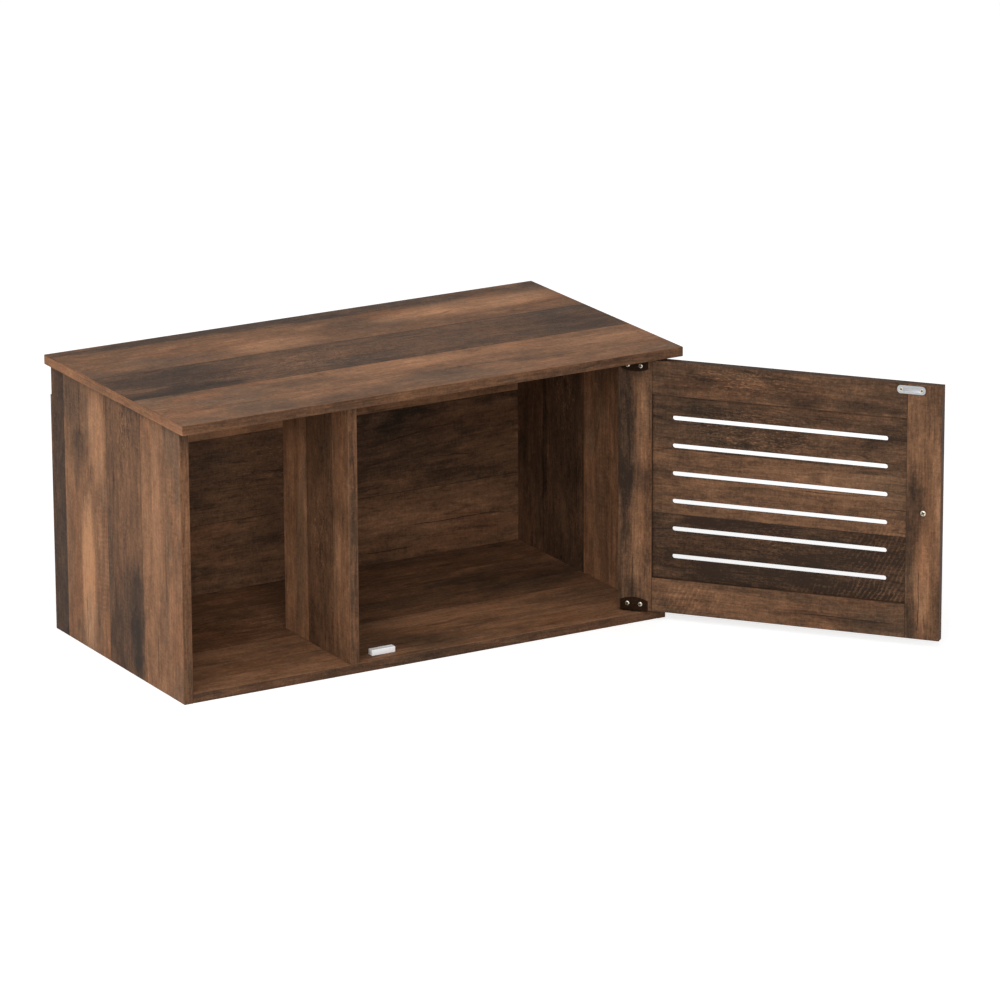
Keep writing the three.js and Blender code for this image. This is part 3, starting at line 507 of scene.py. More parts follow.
def laminate(node, board, look):
    """The printed rustic planks of one board, with its edge bands."""
    paint = Paint("laminate_" + node)
    to_board, normal_to_board = board.mappings(node)
    face_along, face_across, depth = paint.place(to_board)
    out_along, _, out_face = paint.facing(normal_to_board)

    # An edge band's grain runs along the edge, and it is a strip of its own.
    edge = paint.ease(abs(out_face), 0.35, 0.6, 1, 0)
    on_face = 1 - edge
    end = paint.ease(abs(out_along), 0.4, 0.6)
    along = paint.blend(end, face_along, face_across)
    across = paint.blend(edge, face_across, depth * 1.3 - 0.06)

    tone, seam_line, shift = planks(paint, board, along, across, look.seam)
    layers = print_layers(paint, along, across, shift)
    smoke, cloud, mottle, streak, fibre, scrape, _, strand, pore, vein, redness = layers.values()
    wobble = smoke * 1.1 + cloud * 0.6

    def patch_of(patch):
        return soft_patch(paint, along, across, patch, wobble) * on_face

    dark_plank = paint.ease(tone, 0.45, 0.22)
    tone = paint.blend(edge, tone, paint.blend(end, board.edge_tone, board.end_tone))
    if board.far_shade:
        tone = tone + (out_face < -0.5) * board.far_shade
    for layer, (*_, share) in LAYERS.items():
        if share:
            tone = tone + layers[layer] * share

    # The marks, where a dark one is smoked too.
    smoked = paint.ease(smoke, 0.0, -0.14).at_least(dark_plank * 0.45)
    for mark in board.marks:
        patch, change = patch_of(mark), mark[4]
        tone = tone + patch * change
        if change < 0:
            smoked = smoked.at_least(patch * min(1, -change * 3))

    # The curly figure.
    figured = dark_plank * 0.08 * on_face
    for patch in board.figure:
        figured = figured + patch_of(patch) * patch[4]
    tone = tone + figured * (paint.ease(strand, -0.04, 0.18) * 1.4 - 0.30)

    # The saw marks.
    if board.sawn:
        lean = along + across * board.saw_lean + (mottle + cloud * 2) * 0.008
        saw = (lean * (2 * math.pi / look.saw_pitch)).wave()
        teeth = paint.ease(saw + mottle * 3, 0.0, 1.0) - 0.3
        for patch in board.sawn:
            tone = tone + patch_of(patch) * teeth * patch[4]

    # The dark lines: veins, seams and cracks.
    thin_vein = paint.ease(abs(vein), 0.002, 0.016, 1, 0)
    dark_line = thin_vein * paint.ease(cloud, -0.04, 0.10) * 0.24 + seam_line * on_face * 0.26
    wander = paint.noise(paint.point(along * 14, shift), detail=3, roughness=0.6) - 0.5
    for crack in board.cracks:
        line = hairline(paint, along, across, crack, wander * CRACK_WANDER)
        dark_line = dark_line + line * on_face * 0.6
    tone = tone - dark_line.at_most(0.6) * 0.70 - paint.ease(pore, 0.10, 0.25) * 0.07

    browns = (look.dark, look.umber, look.middle, look.tan, look.light)
    colour = paint.ramp(tone, [(step / 4, tuple(brown)) for step, brown in enumerate(browns)])
    smoky = paint.mix(1.0, colour, tuple(look.smoke), "MULTIPLY")
    colour = paint.mix(smoked * 0.55, colour, smoky)
    reddish = paint.mix(1.0, colour, REDDISH, "MULTIPLY")
    red = paint.ease(redness, 0.02, 0.16)
    colour = paint.mix((red * 0.45).at_least(edge * 0.35), colour, reddish)

    # The eased arris shows a thin dark core between the face and the band.
    arris = paint.ease(abs(abs(out_face) - 0.707), 0.12, 0.28, 1, 0)
    colour = paint.mix(arris * 0.30, colour, ARRIS_CORE)

    gloss = look.roughness + streak * 0.16 - smoked * 0.05 + dark_line * 0.2
    height = paint.ease(pore, -0.05, 0.25, 0, -1) + fibre * 0.9 + scrape * 0.4 - dark_line * 1.5
    return paint.surface(
        Base_Color=colour, Roughness=gloss.at_least(0.3).at_most(0.85),
        Normal=paint.bump(height, look.pore_depth), Specular_IOR_Level=0.10,
    )


def finish_node(node, material):
    slots = NODES[node].data.materials
    slots.clear()
    slots.append(material)


def print_boards(boards, look):
    for node, board in boards.items():
        finish_node(node, laminate(node, board, look))


def closed_box(node):
    """A door piece's lowest and highest corner in the closed door's own frame, from the pivot."""
    back = DOOR_TURN.inverted()
    points = [back @ vertex.co for vertex in NODES[node].data.vertices]
    return (
        Vector([min(p[axis] for p in points) for axis in range(3)]),
        Vector([max(p[axis] for p in points) for axis in range(3)]),
    )


class CABINET_OT_carcass(bpy.types.Operator):
    """Prints the plank laminate on the boards of the cabinet's body"""

    bl_idname = "cabinet.carcass"
    bl_label = "Carcass boards"

    def execute(self, context):
        print_boards(CARCASS_BOARDS, context.scene.cabinet_laminate)
        return {"FINISHED"}


class CABINET_OT_door(bpy.types.Operator):
    """Prints the plank laminate on the door's frame and its slotted panel"""

    bl_idname = "cabinet.door"
    bl_label = "Door boards"

    def execute(self, context):
        print_boards(DOOR_BOARDS, context.scene.cabinet_laminate)
        return {"FINISHED"}


# -- Metal and plastic -------------------------------------------------


class HardwareSettings(bpy.types.PropertyGroup):
    nickel: bpy.props.FloatVectorProperty(
        name="Nickel", description="Colour of the nickel plating", subtype="COLOR", size=3,
        default=(0.66, 0.60, 0.49),
    )
    strike_nickel: bpy.props.FloatVectorProperty(
        name="Strike plate nickel", description="Colour of the strike plate's duller plating",
        subtype="COLOR", size=3, default=(0.40, 0.41, 0.42),
    )
    black_steel: bpy.props.FloatVectorProperty(
        name="Black steel", description="Colour of the hinge leaves and the knob",
        subtype="COLOR", size=3, default=(0.015, 0.0065, 0.0025),
    )
    white_plastic: bpy.props.FloatVectorProperty(
        name="White plastic", description="Colour of the catches", subtype="COLOR", size=3,
        default=(0.95, 0.95, 0.94),
    )
    softening: bpy.props.FloatProperty(
        name="Edge softening", description="Radius worn on the edges of the steel pressings",
        default=0.3 * MM, unit="LENGTH",
    )
    recess_width: bpy.props.FloatProperty(
        name="Cross recess width", description="Width of each arm of a screw's cross",
        default=2.2 * MM, unit="LENGTH",
    )
    nail_radius: bpy.props.FloatProperty(
        name="Nail head radius", description="Radius of the nails that hold the back panel",
        default=3.2 * MM, unit="LENGTH",
    )
    nail_spacing: bpy.props.FloatProperty(
        name="Nail spacing", description="The most that two neighbouring nails are apart",
        default=130 * MM, unit="LENGTH",
    )


def plated(name, colour, roughness):
    """Thin plating over pressed steel: faint mottling and fine scratches."""
    paint = Paint(name)
    where = paint.spot()
    x, y, z = paint.split(where)
    mottle = paint.noise(where, scale=420, detail=3, roughness=0.6)
    scratch = paint.noise(paint.point(x * 900, y * 900, z * 5200), detail=2)
    dull, bright = (tuple(min(1, c * gain) for c in colour) for gain in (0.82, 1.08))
    shade = paint.mix(mottle, dull, bright)
    return paint.surface(
        Base_Color=shade, Metallic=1.0,
        Roughness=roughness + (scratch - 0.5) * 0.16 + (mottle - 0.5) * 0.10,
        Normal=paint.bump(mottle + scratch * 0.4, 0.02 * MM),
    )


def powder_coat(name, colour):
    """Satin black coat with a fine pebble, slightly worn brown where it is thin."""
    paint = Paint(name)
    where = paint.spot()
    pebble = paint.cells(where, 2600)
    cloud = paint.noise(where, scale=260, detail=3)
    shade = paint.mix(paint.ease(cloud, 0.45, 0.75), colour, tuple(c * 1.9 for c in colour))
    return paint.surface(
        Base_Color=shade, Roughness=0.52 + (cloud - 0.5) * 0.2,
        Normal=paint.bump(pebble, 0.03 * MM), Specular_IOR_Level=0.05,
    )


def moulded(name, colour, roughness):
    """Moulded plastic with a spark-eroded skin and faint flow marks."""
    paint = Paint(name)
    where = paint.spot()
    x, y, z = paint.split(where)
    skin = paint.noise(where, scale=3800, detail=2)
    flow = paint.noise(paint.point(x * 60, y * 180, z * 120), detail=2)
    shade = paint.mix(paint.ease(flow, 0.4, 0.7), tuple(c * 0.96 for c in colour), colour)
    return paint.surface(
        Base_Color=shade, Roughness=roughness + (skin - 0.5) * 0.12,
        Normal=paint.bump(skin, 0.015 * MM),
    )


def die_cast(name, colour):
    paint = Paint(name)
    where = paint.spot()
    grit = paint.noise(where, scale=2200, detail=4, roughness=0.7)
    stain = paint.noise(where, scale=240, detail=2)
    shade = paint.mix(stain, tuple(c * 0.75 for c in colour), colour)
    return paint.surface(
        Base_Color=shade, Metallic=0.9, Roughness=0.48 + (grit - 0.5) * 0.3,
        Normal=paint.bump(grit, 0.05 * MM),
    )


def bare_beech(name):
    paint = Paint(name)
    where = paint.spot()
    fibre = paint.noise(where, scale=900, detail=3, roughness=0.6)
    flecks = paint.ease(paint.noise(where, scale=2400), 0.6, 0.7)
    shade = paint.mix(fibre, (0.50, 0.30, 0.14), (0.70, 0.47, 0.25))
    shade = paint.mix(flecks * 0.4, shade, (0.34, 0.18, 0.08))
    return paint.surface(
        Base_Color=shade, Roughness=0.72 + (fibre - 0.5) * 0.1, Normal=paint.bump(fibre, 0.05 * MM)
    )


def sintered(name):
    paint = Paint(name)
    grain = paint.cells(paint.spot(), 5200)
    shade = paint.mix(paint.ease(grain, 0.1, 0.7), (0.05, 0.05, 0.054), (0.025, 0.025, 0.027))
    return paint.surface(Base_Color=shade, Roughness=0.6, Normal=paint.bump(grain, 0.03 * MM))


def finish(name):
    """One of the metal, plastic or bare wood finishes, made when it is first asked for."""
    if name in bpy.data.materials:
        return bpy.data.materials[name]
    look = bpy.context.scene.cabinet_hardware
    makers = {
        "nickel_plate": lambda: plated(name, tuple(look.nickel), 0.42),
        "strike_nickel": lambda: plated(name, tuple(look.strike_nickel), 0.36),
        # painted shade: a dull dark finish for the inside of the screws' cross recesses
        "recess_shade": lambda: plated(name, (0.15, 0.12, 0.085), 0.60),
        "black_steel_coat": lambda: powder_coat(name, tuple(look.black_steel)),
        "black_nylon_bush": lambda: moulded(name, (0.012, 0.012, 0.012), 0.5),
        "white_catch_plastic": lambda: moulded(name, tuple(look.white_plastic), 0.38),
        "zinc_casting": lambda: die_cast(name, (0.42, 0.43, 0.44)),
        "ferrite_magnet": lambda: sintered(name),
        "beech_dowel": lambda: bare_beech(name),
    }
    return makers[name]()


# -- Modelling ---------------------------------------------------------


def deselect_all():
    bpy.ops.object.select_all(action="DESELECT")


def select_only(piece):
    deselect_all()
    piece.select_set(True)
    bpy.context.view_layer.objects.active = piece


def apply_modifier(piece, kind, **settings):
    """Adds a modifier to the piece and applies it at once."""
    modifier = piece.modifiers.new(kind.lower(), kind)
    for key, value in settings.items():
        setattr(modifier, key, value)
    bpy.context.view_layer.objects.active = piece
    bpy.ops.object.modifier_apply(modifier=modifier.name)


def edit(piece, mode="EDIT"):
    bpy.context.view_layer.objects.active = piece
    bpy.ops.object.mode_set(mode=mode)


def pick(piece, kind, wanted):
    """In edit mode, selects only the faces or edges that are wanted."""
    bpy.ops.mesh.select_mode(type=kind)
    bpy.ops.mesh.select_all(action="DESELECT")
    grid = bmesh.from_edit_mesh(piece.data)
    for part in grid.faces if kind == "FACE" else grid.edges:
        if wanted(part):
            part.select_set(True)
    bmesh.update_edit_mesh(piece.data)


def level_face(height, tolerance=0.01 * MM):
    def wanted(face):
        return abs(face.calc_center_median().z - height) < tolerance and abs(face.normal.z) > 0.9

    return wanted


def upright_edge(edge):
    first, second = (v.co for v in edge.verts)
    return abs(first.z - second.z) > 0.9 * (first - second).length


def quarter_turn(parts):
    """The cosine and the sine after each of the even parts of a quarter turn."""
    leans = [math.radians(90 * part / parts) for part in range(1, parts + 1)]
    return [(math.cos(lean), math.sin(lean)) for lean in leans]


def turned(name, profile, segments=48):
    """A solid of revolution about Z, raised ring by ring from a filled circle."""
    deselect_all()
    radius, height = profile[0]
    bpy.ops.mesh.primitive_circle_add(
        vertices=segments, radius=radius, fill_type="NGON", location=(0, 0, 0)
    )
    piece = bpy.context.object
    piece.name = name
    edit(piece)
    bpy.ops.mesh.select_all(action="SELECT")
    bpy.ops.transform.translate(value=(0, 0, height))
    for next_radius, next_height in profile[1:]:
        rise = {"value": (0, 0, next_height - height)}
        bpy.ops.mesh.extrude_region_move(TRANSFORM_OT_translate=rise)
        grow = next_radius / radius
        bpy.ops.transform.resize(value=(grow, grow, 1), center_override=(0, 0, next_height))
        radius, height = next_radius, next_height
    outward(piece)
    return piece


def outward(piece):
    """Merges doubles, turns the faces outwards and goes back to object mode."""
    bpy.ops.mesh.select_all(action="SELECT")
    bpy.ops.mesh.remove_doubles(threshold=0.001 * MM)
    bpy.ops.mesh.normals_make_consistent(inside=False)
    edit(piece, "OBJECT")


def slab(name, size, centre=(0, 0, 0)):
    deselect_all()
    bpy.ops.mesh.primitive_cube_add(size=1, location=(0, 0, 0))
    piece = bpy.context.object
    piece.name = name
    edit(piece)
    bpy.ops.mesh.select_all(action="SELECT")
    bpy.ops.transform.resize(value=size, center_override=(0, 0, 0))
    bpy.ops.transform.translate(value=centre)
    edit(piece, "OBJECT")
    return piece


def carve(piece, cutter, operation="DIFFERENCE"):
    """Cuts the cutter out of the piece, or joins it to it, and removes the cutter."""
    deselect_all()
    apply_modifier(piece, "BOOLEAN", object=cutter, operation=operation, solver="EXACT")
    bpy.data.objects.remove(cutter)


def soften(piece, width, segments=3, angle=35):
    """Rounds the edges that are sharper than the angle."""
    apply_modifier(
        piece, "BEVEL", width=width, segments=segments, limit_method="ANGLE",
        angle_limit=math.radians(angle), harden_normals=False,
    )


def smooth(piece, angle=32):
    select_only(piece)
    bpy.ops.object.shade_smooth_by_angle(angle=math.radians(angle))


def copy_of(piece, name):
    made = piece.copy()
    made.data = piece.data.copy()
    made.name = name
    bpy.context.scene.collection.objects.link(made)
    return made


def settle(piece, matrix):
    """Puts the piece in place and leaves its object at the origin, with its place in its mesh."""
    select_only(piece)
    piece.matrix_world = matrix
    bpy.context.view_layer.update()
    bpy.ops.object.transform_apply(location=True, rotation=True, scale=True)


def hand_over(piece, body, material, slot, *nodes):
    """Gives a finished piece its material, unless it has one, its body and what it replaces."""
    if not piece.data.polygons:
        raise RuntimeError(piece.name + " has no faces left")
    piece.data.name = piece.name
    if material:
        piece.data.materials.clear()
        piece.data.materials.append(finish(material))
    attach(piece, body)
    if nodes:
        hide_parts(*nodes)


def on_door_face(x, y, z, inner=True, spin=0.0):
    """A place on the closed door, with +Z out of its inner or outer face."""
    out = Y if inner else -Y
    frame_of = Matrix((Z.cross(out), Z, out)).transposed().to_4x4()
    turn = Matrix.Rotation(math.radians(spin), 4, "Z")
    return DOOR_TURN @ Matrix.Translation((x, y, z)) @ frame_of @ turn


def middle(low, high, axis):
    return (low[axis] + high[axis]) / 2


def cross_cutter(span, width, depth, top):
    """The tapered cross that a driver leaves room for, with its open end at the given height."""
    arms = []
    for number, size in enumerate(((span, width, depth), (width, span, depth))):
        arm = slab(f"cutter_{number}", size, (0, 0, top - depth / 2))
        edit(arm)
        pick(arm, "FACE", level_face(top - depth))
        bpy.ops.transform.resize(value=(0.5, 0.5, 1), center_override=(0, 0, top - depth))
        bpy.ops.mesh.select_all(action="SELECT")
        bpy.ops.mesh.normals_make_consistent(inside=False)
        edit(arm, "OBJECT")
        arms.append(arm)
    carve(*arms, operation="UNION")
    return arms[0]


def thread(radius, start, end, pitch=1.3 * MM):
    """Rings of a wood screw's thread, from its start to a point at its end, going down."""
    rings, height = [], start
    while height - pitch > end + 2.2 * radius:
        rings += [(radius * 0.74, height), (radius, height - 0.5 * pitch)]
        height -= pitch
    return rings + [(radius * 0.74, height), (radius * 0.1, end)]


def cross_screw(name, head_radius, head_height, shank_radius, length, recess, domed=True):
    """A screw with its head's seat at z 0 and its shank below it."""
    shank = list(reversed(thread(shank_radius, -1.2 * MM, -length)))
    shank += [(shank_radius * 0.9, -0.9 * MM), (shank_radius * 0.9, 0)]
    if domed:
        head = [(head_radius * 0.97, 0), (head_radius, 0.12 * head_height)]
        head += [
            (head_radius * (0.40 + 0.60 * cosine), head_height * (0.22 + 0.78 * sine))
            for cosine, sine in quarter_turn(9)[:-1]
        ]
        head.append((head_radius * 0.2, head_height))
    else:
        head = [
            (head_radius * 0.94, head_height * 0.55), (head_radius, head_height * 0.8),
            (head_radius * 0.9, head_height), (head_radius * 0.2, head_height),
        ]
    piece = turned(name, shank + head, 40)
    depth = head_height * 0.75 + 0.4 * MM
    carve(piece, cross_cutter(head_radius * 1.4, recess, depth, head_height + 0.02 * MM))
    smooth(piece)
    # The cross recess gets a dull dark finish: painted shade, standing for the shade that falls
    # inside the recess.
    for material in ("nickel_plate", "recess_shade"):
        piece.data.materials.append(finish(material))
    floor = head_height - depth - 0.01 * MM
    for face in piece.data.polygons:
        spot = face.center
        outwards = face.normal.xy.dot(spot.xy.normalized())
        inside = spot.xy.length < 0.75 * head_radius and floor < spot.z < 0.9 * head_height
        face.material_index = int(inside and outwards < 0.3)
    return piece


# -- Hardware ----------------------------------------------------------


# Each kind of screw: its nodes, with the turn of each one's cross in degrees, the height of its
# head, the radius of its shank and whether its head is domed.
SCREWS = (
    ({"lower_hinge_screw_1": 14, "lower_hinge_screw_2": 52}, 2.0 * MM, 1.75 * MM, True),
    ({"upper_hinge_screw_1": 33, "upper_hinge_screw_2": -8}, 2.0 * MM, 1.75 * MM, True),
    ({"door_knob_screw": 24}, 2.2 * MM, 2.0 * MM, True),
    ({"strike_plate_screw_rail": 40, "strike_plate_screw_stile": 8}, 0.9 * MM, 1.4 * MM, False),
)


class CABINET_OT_screws(bpy.types.Operator):
    """Makes the cross-head screws of the hinges, the knob and the strike plate"""

    bl_idname = "cabinet.screws"
    bl_label = "Screws"

    def execute(self, context):
        look = context.scene.cabinet_hardware
        for spins, head_height, shank_radius, domed in SCREWS:
            low, high = closed_box(min(spins))
            model = cross_screw(
                "screw_model", (high.x - low.x) / 2, head_height, shank_radius,
                high.y - low.y - head_height,
                look.recess_width if domed else 0.7 * look.recess_width, domed,
            )
            for node, spin in spins.items():
                low, high = closed_box(node)
                seat = high.y - head_height
                piece = copy_of(model, "turned_" + node)
                place = on_door_face(middle(low, high, 0), seat, middle(low, high, 2), spin=spin)
                settle(piece, place)
                hand_over(piece, "door", None, "nickel_steel", node)
            bpy.data.objects.remove(model)
        return {"FINISHED"}


class CABINET_OT_hinges(bpy.types.Operator):
    """Makes the pressed steel pivot leaves, with their edges softened"""

    bl_idname = "cabinet.hinges"
    bl_label = "Hinge leaves"

    def execute(self, context):
        look = context.scene.cabinet_hardware
        for node in ("lower_hinge_bracket", "upper_hinge_bracket"):
            deselect_all()
            piece = copy_of(NODES[node], "pressed_" + node)
            for key in list(piece.keys()):
                del piece[key]
            piece.parent = None
            edit(piece)
            bpy.ops.mesh.select_all(action="SELECT")
            bpy.ops.mesh.remove_doubles(threshold=0.002 * MM)
            bpy.ops.mesh.dissolve_limited(angle_limit=math.radians(1))
            outward(piece)
            soften(piece, look.softening)
            smooth(piece, 40)
            hand_over(piece, "door", "black_steel_coat", "black_steel", node)
        return {"FINISHED"}


class CABINET_OT_strike(bpy.types.Operator):
    """Makes the nickel strike plate that the catches hold"""

    bl_idname = "cabinet.strike"
    bl_label = "Strike plate"

    def execute(self, context):
        low, high = closed_box("strike_plate")
        length, height, thickness = high.x - low.x, high.z - low.z, high.y - low.y
        rim, dish = 1.1 * MM, 0.22 * MM
        plate = slab("nickel_strike_plate", (length, height, thickness), (0, 0, thickness / 2))
        edit(plate)
        pick(plate, "EDGE", upright_edge)
        bpy.ops.mesh.bevel(offset=height * 0.44, segments=9, profile=0.5, affect="EDGES")
        pick(plate, "FACE", level_face(thickness))
        bpy.ops.mesh.inset(thickness=rim, depth=0)
        bpy.ops.transform.translate(value=(0, 0, -dish))
        outward(plate)
        soften(plate, 0.16 * MM, 2, 30)
        for node in ("strike_plate_screw_rail", "strike_plate_screw_stile"):
            screw_low, screw_high = closed_box(node)
            place = middle(low, high, 0) - middle(screw_low, screw_high, 0)
            radius = (screw_high.x - screw_low.x) / 2
            deep = [
                (radius * 0.62, -0.2 * MM), (radius * 0.62, 0.35 * thickness),
                (radius * 1.12, thickness * 0.9), (radius * 1.25, thickness * 1.2),
            ]
            cutter = turned("countersink", deep, 32)
            settle(cutter, Matrix.Translation((place, 0, 0)))
            carve(plate, cutter)
        smooth(plate)
        settle(plate, on_door_face(middle(low, high, 0), low.y, middle(low, high, 2)))
        hand_over(plate, "door", "strike_nickel", "nickel_steel", "strike_plate")
        return {"FINISHED"}


class CABINET_OT_catches(bpy.types.Operator):
    """Makes the two white moulded catch housings"""

    bl_idname = "cabinet.catches"
    bl_label = "Catches"

    def execute(self, context):
        corner, rim, lip, sunk = 1.3 * MM, 0.9 * MM, 0.25 * MM, 0.12 * MM
        peg, peg_place = 2.0 * MM, 16 * MM
        for name, board in (("lower", "bottom_panel"), ("upper", "top_panel")):
            node = name + "_catch_housing"
            low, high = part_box(node)
            board_low, board_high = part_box(board)
            up = name == "lower"
            seat = board_high.z if up else board_low.z
            body_height = (high.z - seat) if up else (seat - low.z)
            size = (high.x - low.x, high.y - low.y, body_height)
            block = slab("moulded_" + node, size, (0, 0, body_height / 2))
            soften(block, corner, 5)
            edit(block)
            pick(block, "FACE", level_face(body_height))
            bpy.ops.mesh.inset(thickness=rim, depth=0)
            bpy.ops.mesh.inset(thickness=lip, depth=-sunk)
            outward(block)
            peg_length = (seat - low.z) if up else (high.z - seat)
            for side in (-1, 1):
                profile = [
                    (peg * 0.6, -peg_length), (peg, -peg_length + 0.8 * MM), (peg, -1.5 * MM),
                    (peg * 0.9, -1.5 * MM), (peg * 0.9, 0.5 * MM),
                ]
                stud = turned("stud", profile, 24)
                settle(stud, Matrix.Translation((side * peg_place, 0, 0)))
                carve(block, stud, "UNION")
            smooth(block, 40)
            flip = Matrix.Identity(4) if up else Matrix.Rotation(math.pi, 4, "X")
            place = Matrix.Translation((middle(low, high, 0), middle(low, high, 1), seat))
            settle(block, place @ flip)
            hand_over(block, "cabinet", "white_catch_plastic", "white_plastic", node)
        return {"FINISHED"}


class CABINET_OT_knob(bpy.types.Operator):
    """Turns the door's knob"""

    bl_idname = "cabinet.knob"
    bl_label = "Knob"

    def execute(self, context):
        low, high = closed_box("door_knob")
        radius, reach = (high.x - low.x) / 2, high.y - low.y
        neck, foot, head = 6.5 * MM, 9 * MM, 11 * MM
        shoulder = foot * 0.95
        profile = [(foot * 0.96, 0), (foot, 0.5 * MM), (foot, 1.8 * MM), (shoulder, 2.4 * MM)]
        for step in range(1, 6):
            share = step / 6
            waist = shoulder + (neck - shoulder) * math.sin(share * math.pi / 2)
            profile.append((waist, (2.4 + 4 * share) * MM))
        profile.append((neck, reach - head - 2.2 * MM))
        widest = reach - head * 0.55
        profile += [
            (neck + (radius - neck) * sine, widest - (head * 0.45 + 2 * MM) * cosine)
            for cosine, sine in quarter_turn(7)
        ]
        profile += [
            (radius * (0.30 + 0.70 * cosine), widest + head * 0.55 * sine)
            for cosine, sine in quarter_turn(11)
        ]
        profile.append((radius * 0.1, reach))
        knob = turned("turned_door_knob", profile, 72)
        smooth(knob, 40)
        place = on_door_face(middle(low, high, 0), high.y, middle(low, high, 2), inner=False)
        settle(knob, place)
        hand_over(knob, "door", "black_steel_coat", "black_steel", "door_knob")
        return {"FINISHED"}


class CABINET_OT_nails(bpy.types.Operator):
    """Drives the nails that hold the back panel"""

    bl_idname = "cabinet.nails"
    bl_label = "Back panel nails"

    def execute(self, context):
        look = context.scene.cabinet_hardware
        radius = look.nail_radius
        low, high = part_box("back_panel")
        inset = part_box("bottom_panel")[1].z / 2
        rail = middle(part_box("back_rail")[0], high, 2)
        left, right, foot = low.x + inset, high.x - inset, low.z + inset
        across = math.ceil((right - left) / look.nail_spacing)
        upright = math.ceil((rail - foot) / look.nail_spacing)
        places = []
        for number in range(across + 1):
            x = left + (right - left) * number / across
            places += [(x, foot), (x, rail)]
        for number in range(1, upright):
            z = foot + (rail - foot) * number / upright
            places += [(left, z), (right, z)]
        shank, length, under_head = 0.75 * MM, 14 * MM, -0.05 * MM
        profile = [
            (0.2 * shank, -length), (shank, -length + 1.5 * MM), (shank, under_head),
            (radius * 0.94, under_head), (radius, 0.12 * MM), (radius * 0.93, 0.38 * MM),
            (radius * 0.70, 0.56 * MM), (radius * 0.35, 0.66 * MM), (radius * 0.05, 0.70 * MM),
        ]
        model = turned("nail_model", profile, 20)
        smooth(model, 50)
        nails = []
        for x, z in places:
            nail = copy_of(model, "nail")
            settle(nail, Matrix.Translation((x, high.y, z)) @ Matrix.Rotation(-math.pi / 2, 4, "X"))
            nails.append(nail)
        bpy.data.objects.remove(model)
        deselect_all()
        for nail in nails:
            nail.select_set(True)
        bpy.context.view_layer.objects.active = nails[0]
        bpy.ops.object.join()
        nails[0].name = "back_panel_nails"
        hand_over(nails[0], "cabinet", "nickel_plate", "nickel_steel")
        return {"FINISHED"}


class CABINET_OT_fittings(bpy.types.Operator):
    """Finishes the cams, bolts, dowels, pins, bushes and magnets that stay as they are"""

    bl_idname = "cabinet.fittings"
    bl_label = "Fittings"

    def execute(self, context):
        by_word = {
            "cam_lock": "zinc_casting",
            "cam_bolt": "nickel_plate",
            "dowel": "beech_dowel",
            "bush": "black_nylon_bush",
            "magnet": "ferrite_magnet",
            "hinge_pin": "nickel_plate",
        }
        for node in NODES:
            for word, material in by_word.items():
                if word in node:
                    finish_node(node, finish(material))
        return {"FINISHED"}


# -- Studio ------------------------------------------------------------


class StudioSettings(bpy.types.PropertyGroup):
    camera_place: bpy.props.FloatVectorProperty(
        name="Camera", description="Where the camera stands", subtype="TRANSLATION",
        unit="LENGTH", size=3, default=(-4.614, -8.495, 3.123),
    )
    camera_azimuth: bpy.props.FloatProperty(
        name="Azimuth",
        description="The way the camera looks, from straight back towards the right",
        unit="ROTATION", default=math.radians(29.84),
    )
    camera_pitch: bpy.props.FloatProperty(
        name="Pitch", description="How far the camera looks down", unit="ROTATION",
        default=math.radians(16.79),
    )
    camera_roll: bpy.props.FloatProperty(
        name="Roll", description="The camera's turn about the line it looks along",
        unit="ROTATION", default=math.radians(-0.27),
    )
    lens: bpy.props.FloatProperty(
        name="Lens", description="Focal length on a 36 mm sensor", unit="CAMERA", default=225.3,
    )
    key_power: bpy.props.FloatProperty(
        name="Key light", description="Power of the large soft light at the upper left",
        unit="POWER", default=48.0,
    )
    fill_power: bpy.props.FloatProperty(
        name="Fill light", description="Power of the soft light at the right", unit="POWER",
        default=8.0,
    )
    front_power: bpy.props.FloatProperty(
        name="Front light", description="Power of the large low light that reaches into the bays",
        unit="POWER", default=125.0,
    )
    sky: bpy.props.FloatProperty(
        name="Room light", description="Strength of the even light from all round", default=0.62,
        min=0,
    )
    floor_colour: bpy.props.FloatVectorProperty(
        name="Floor", description="Colour of the pale floor", subtype="COLOR", size=3,
        default=(0.80, 0.80, 0.80),
    )


# Each soft light's place, the point it is aimed at, and its length and width, in metres.
SOFTBOXES = (
    ("key", (-2.9, -1.6, 2.9), (0, 0, 0.2), (2.4, 2.0)),
    ("fill", (3.2, -2.6, 1.8), (0, 0, 0.25), (2.0, 1.6)),
    ("front", (-2.2, -4.4, 2.5), (0, 0, 0.1), (3.0, 2.4)),
)
FLOOR_SIZE = 60
FLOOR_DROP = 0.2 * MM  # keeps the floor clear of the cabinet's underside


def seen_directly(paint):
    """1 for what the camera sees, also in metal and through glass."""
    rays = ("Is Camera Ray", "Is Glossy Ray", "Is Transmission Ray")
    camera, glossy, through = paint.node("ShaderNodeLightPath", output=rays)
    return camera.at_least(glossy).at_least(through)


def floor_paint(colour):
    paint = Paint("pale_floor")
    tint = paint.noise(paint.spot(), scale=3, detail=2)
    shade = paint.mix(tint, tuple(c * 0.985 for c in colour), tuple(colour))
    lift = paint.mix(seen_directly(paint), (0, 0, 0), (1, 1, 1))
    return paint.surface(
        Base_Color=shade, Roughness=0.9, Emission_Color=lift, Emission_Strength=0.56
    )


def white_room(strength):
    paint = Paint("white_room", "worlds")
    even = paint.node("ShaderNodeBackground", sockets={"Strength": strength})
    white = paint.node("ShaderNodeBackground", sockets={"Strength": 1.0})
    shown = paint.node("ShaderNodeMixShader", sockets={0: seen_directly(paint), 1: even, 2: white})
    paint.node("ShaderNodeOutputWorld", sockets={"Surface": shown})
    return paint.owner


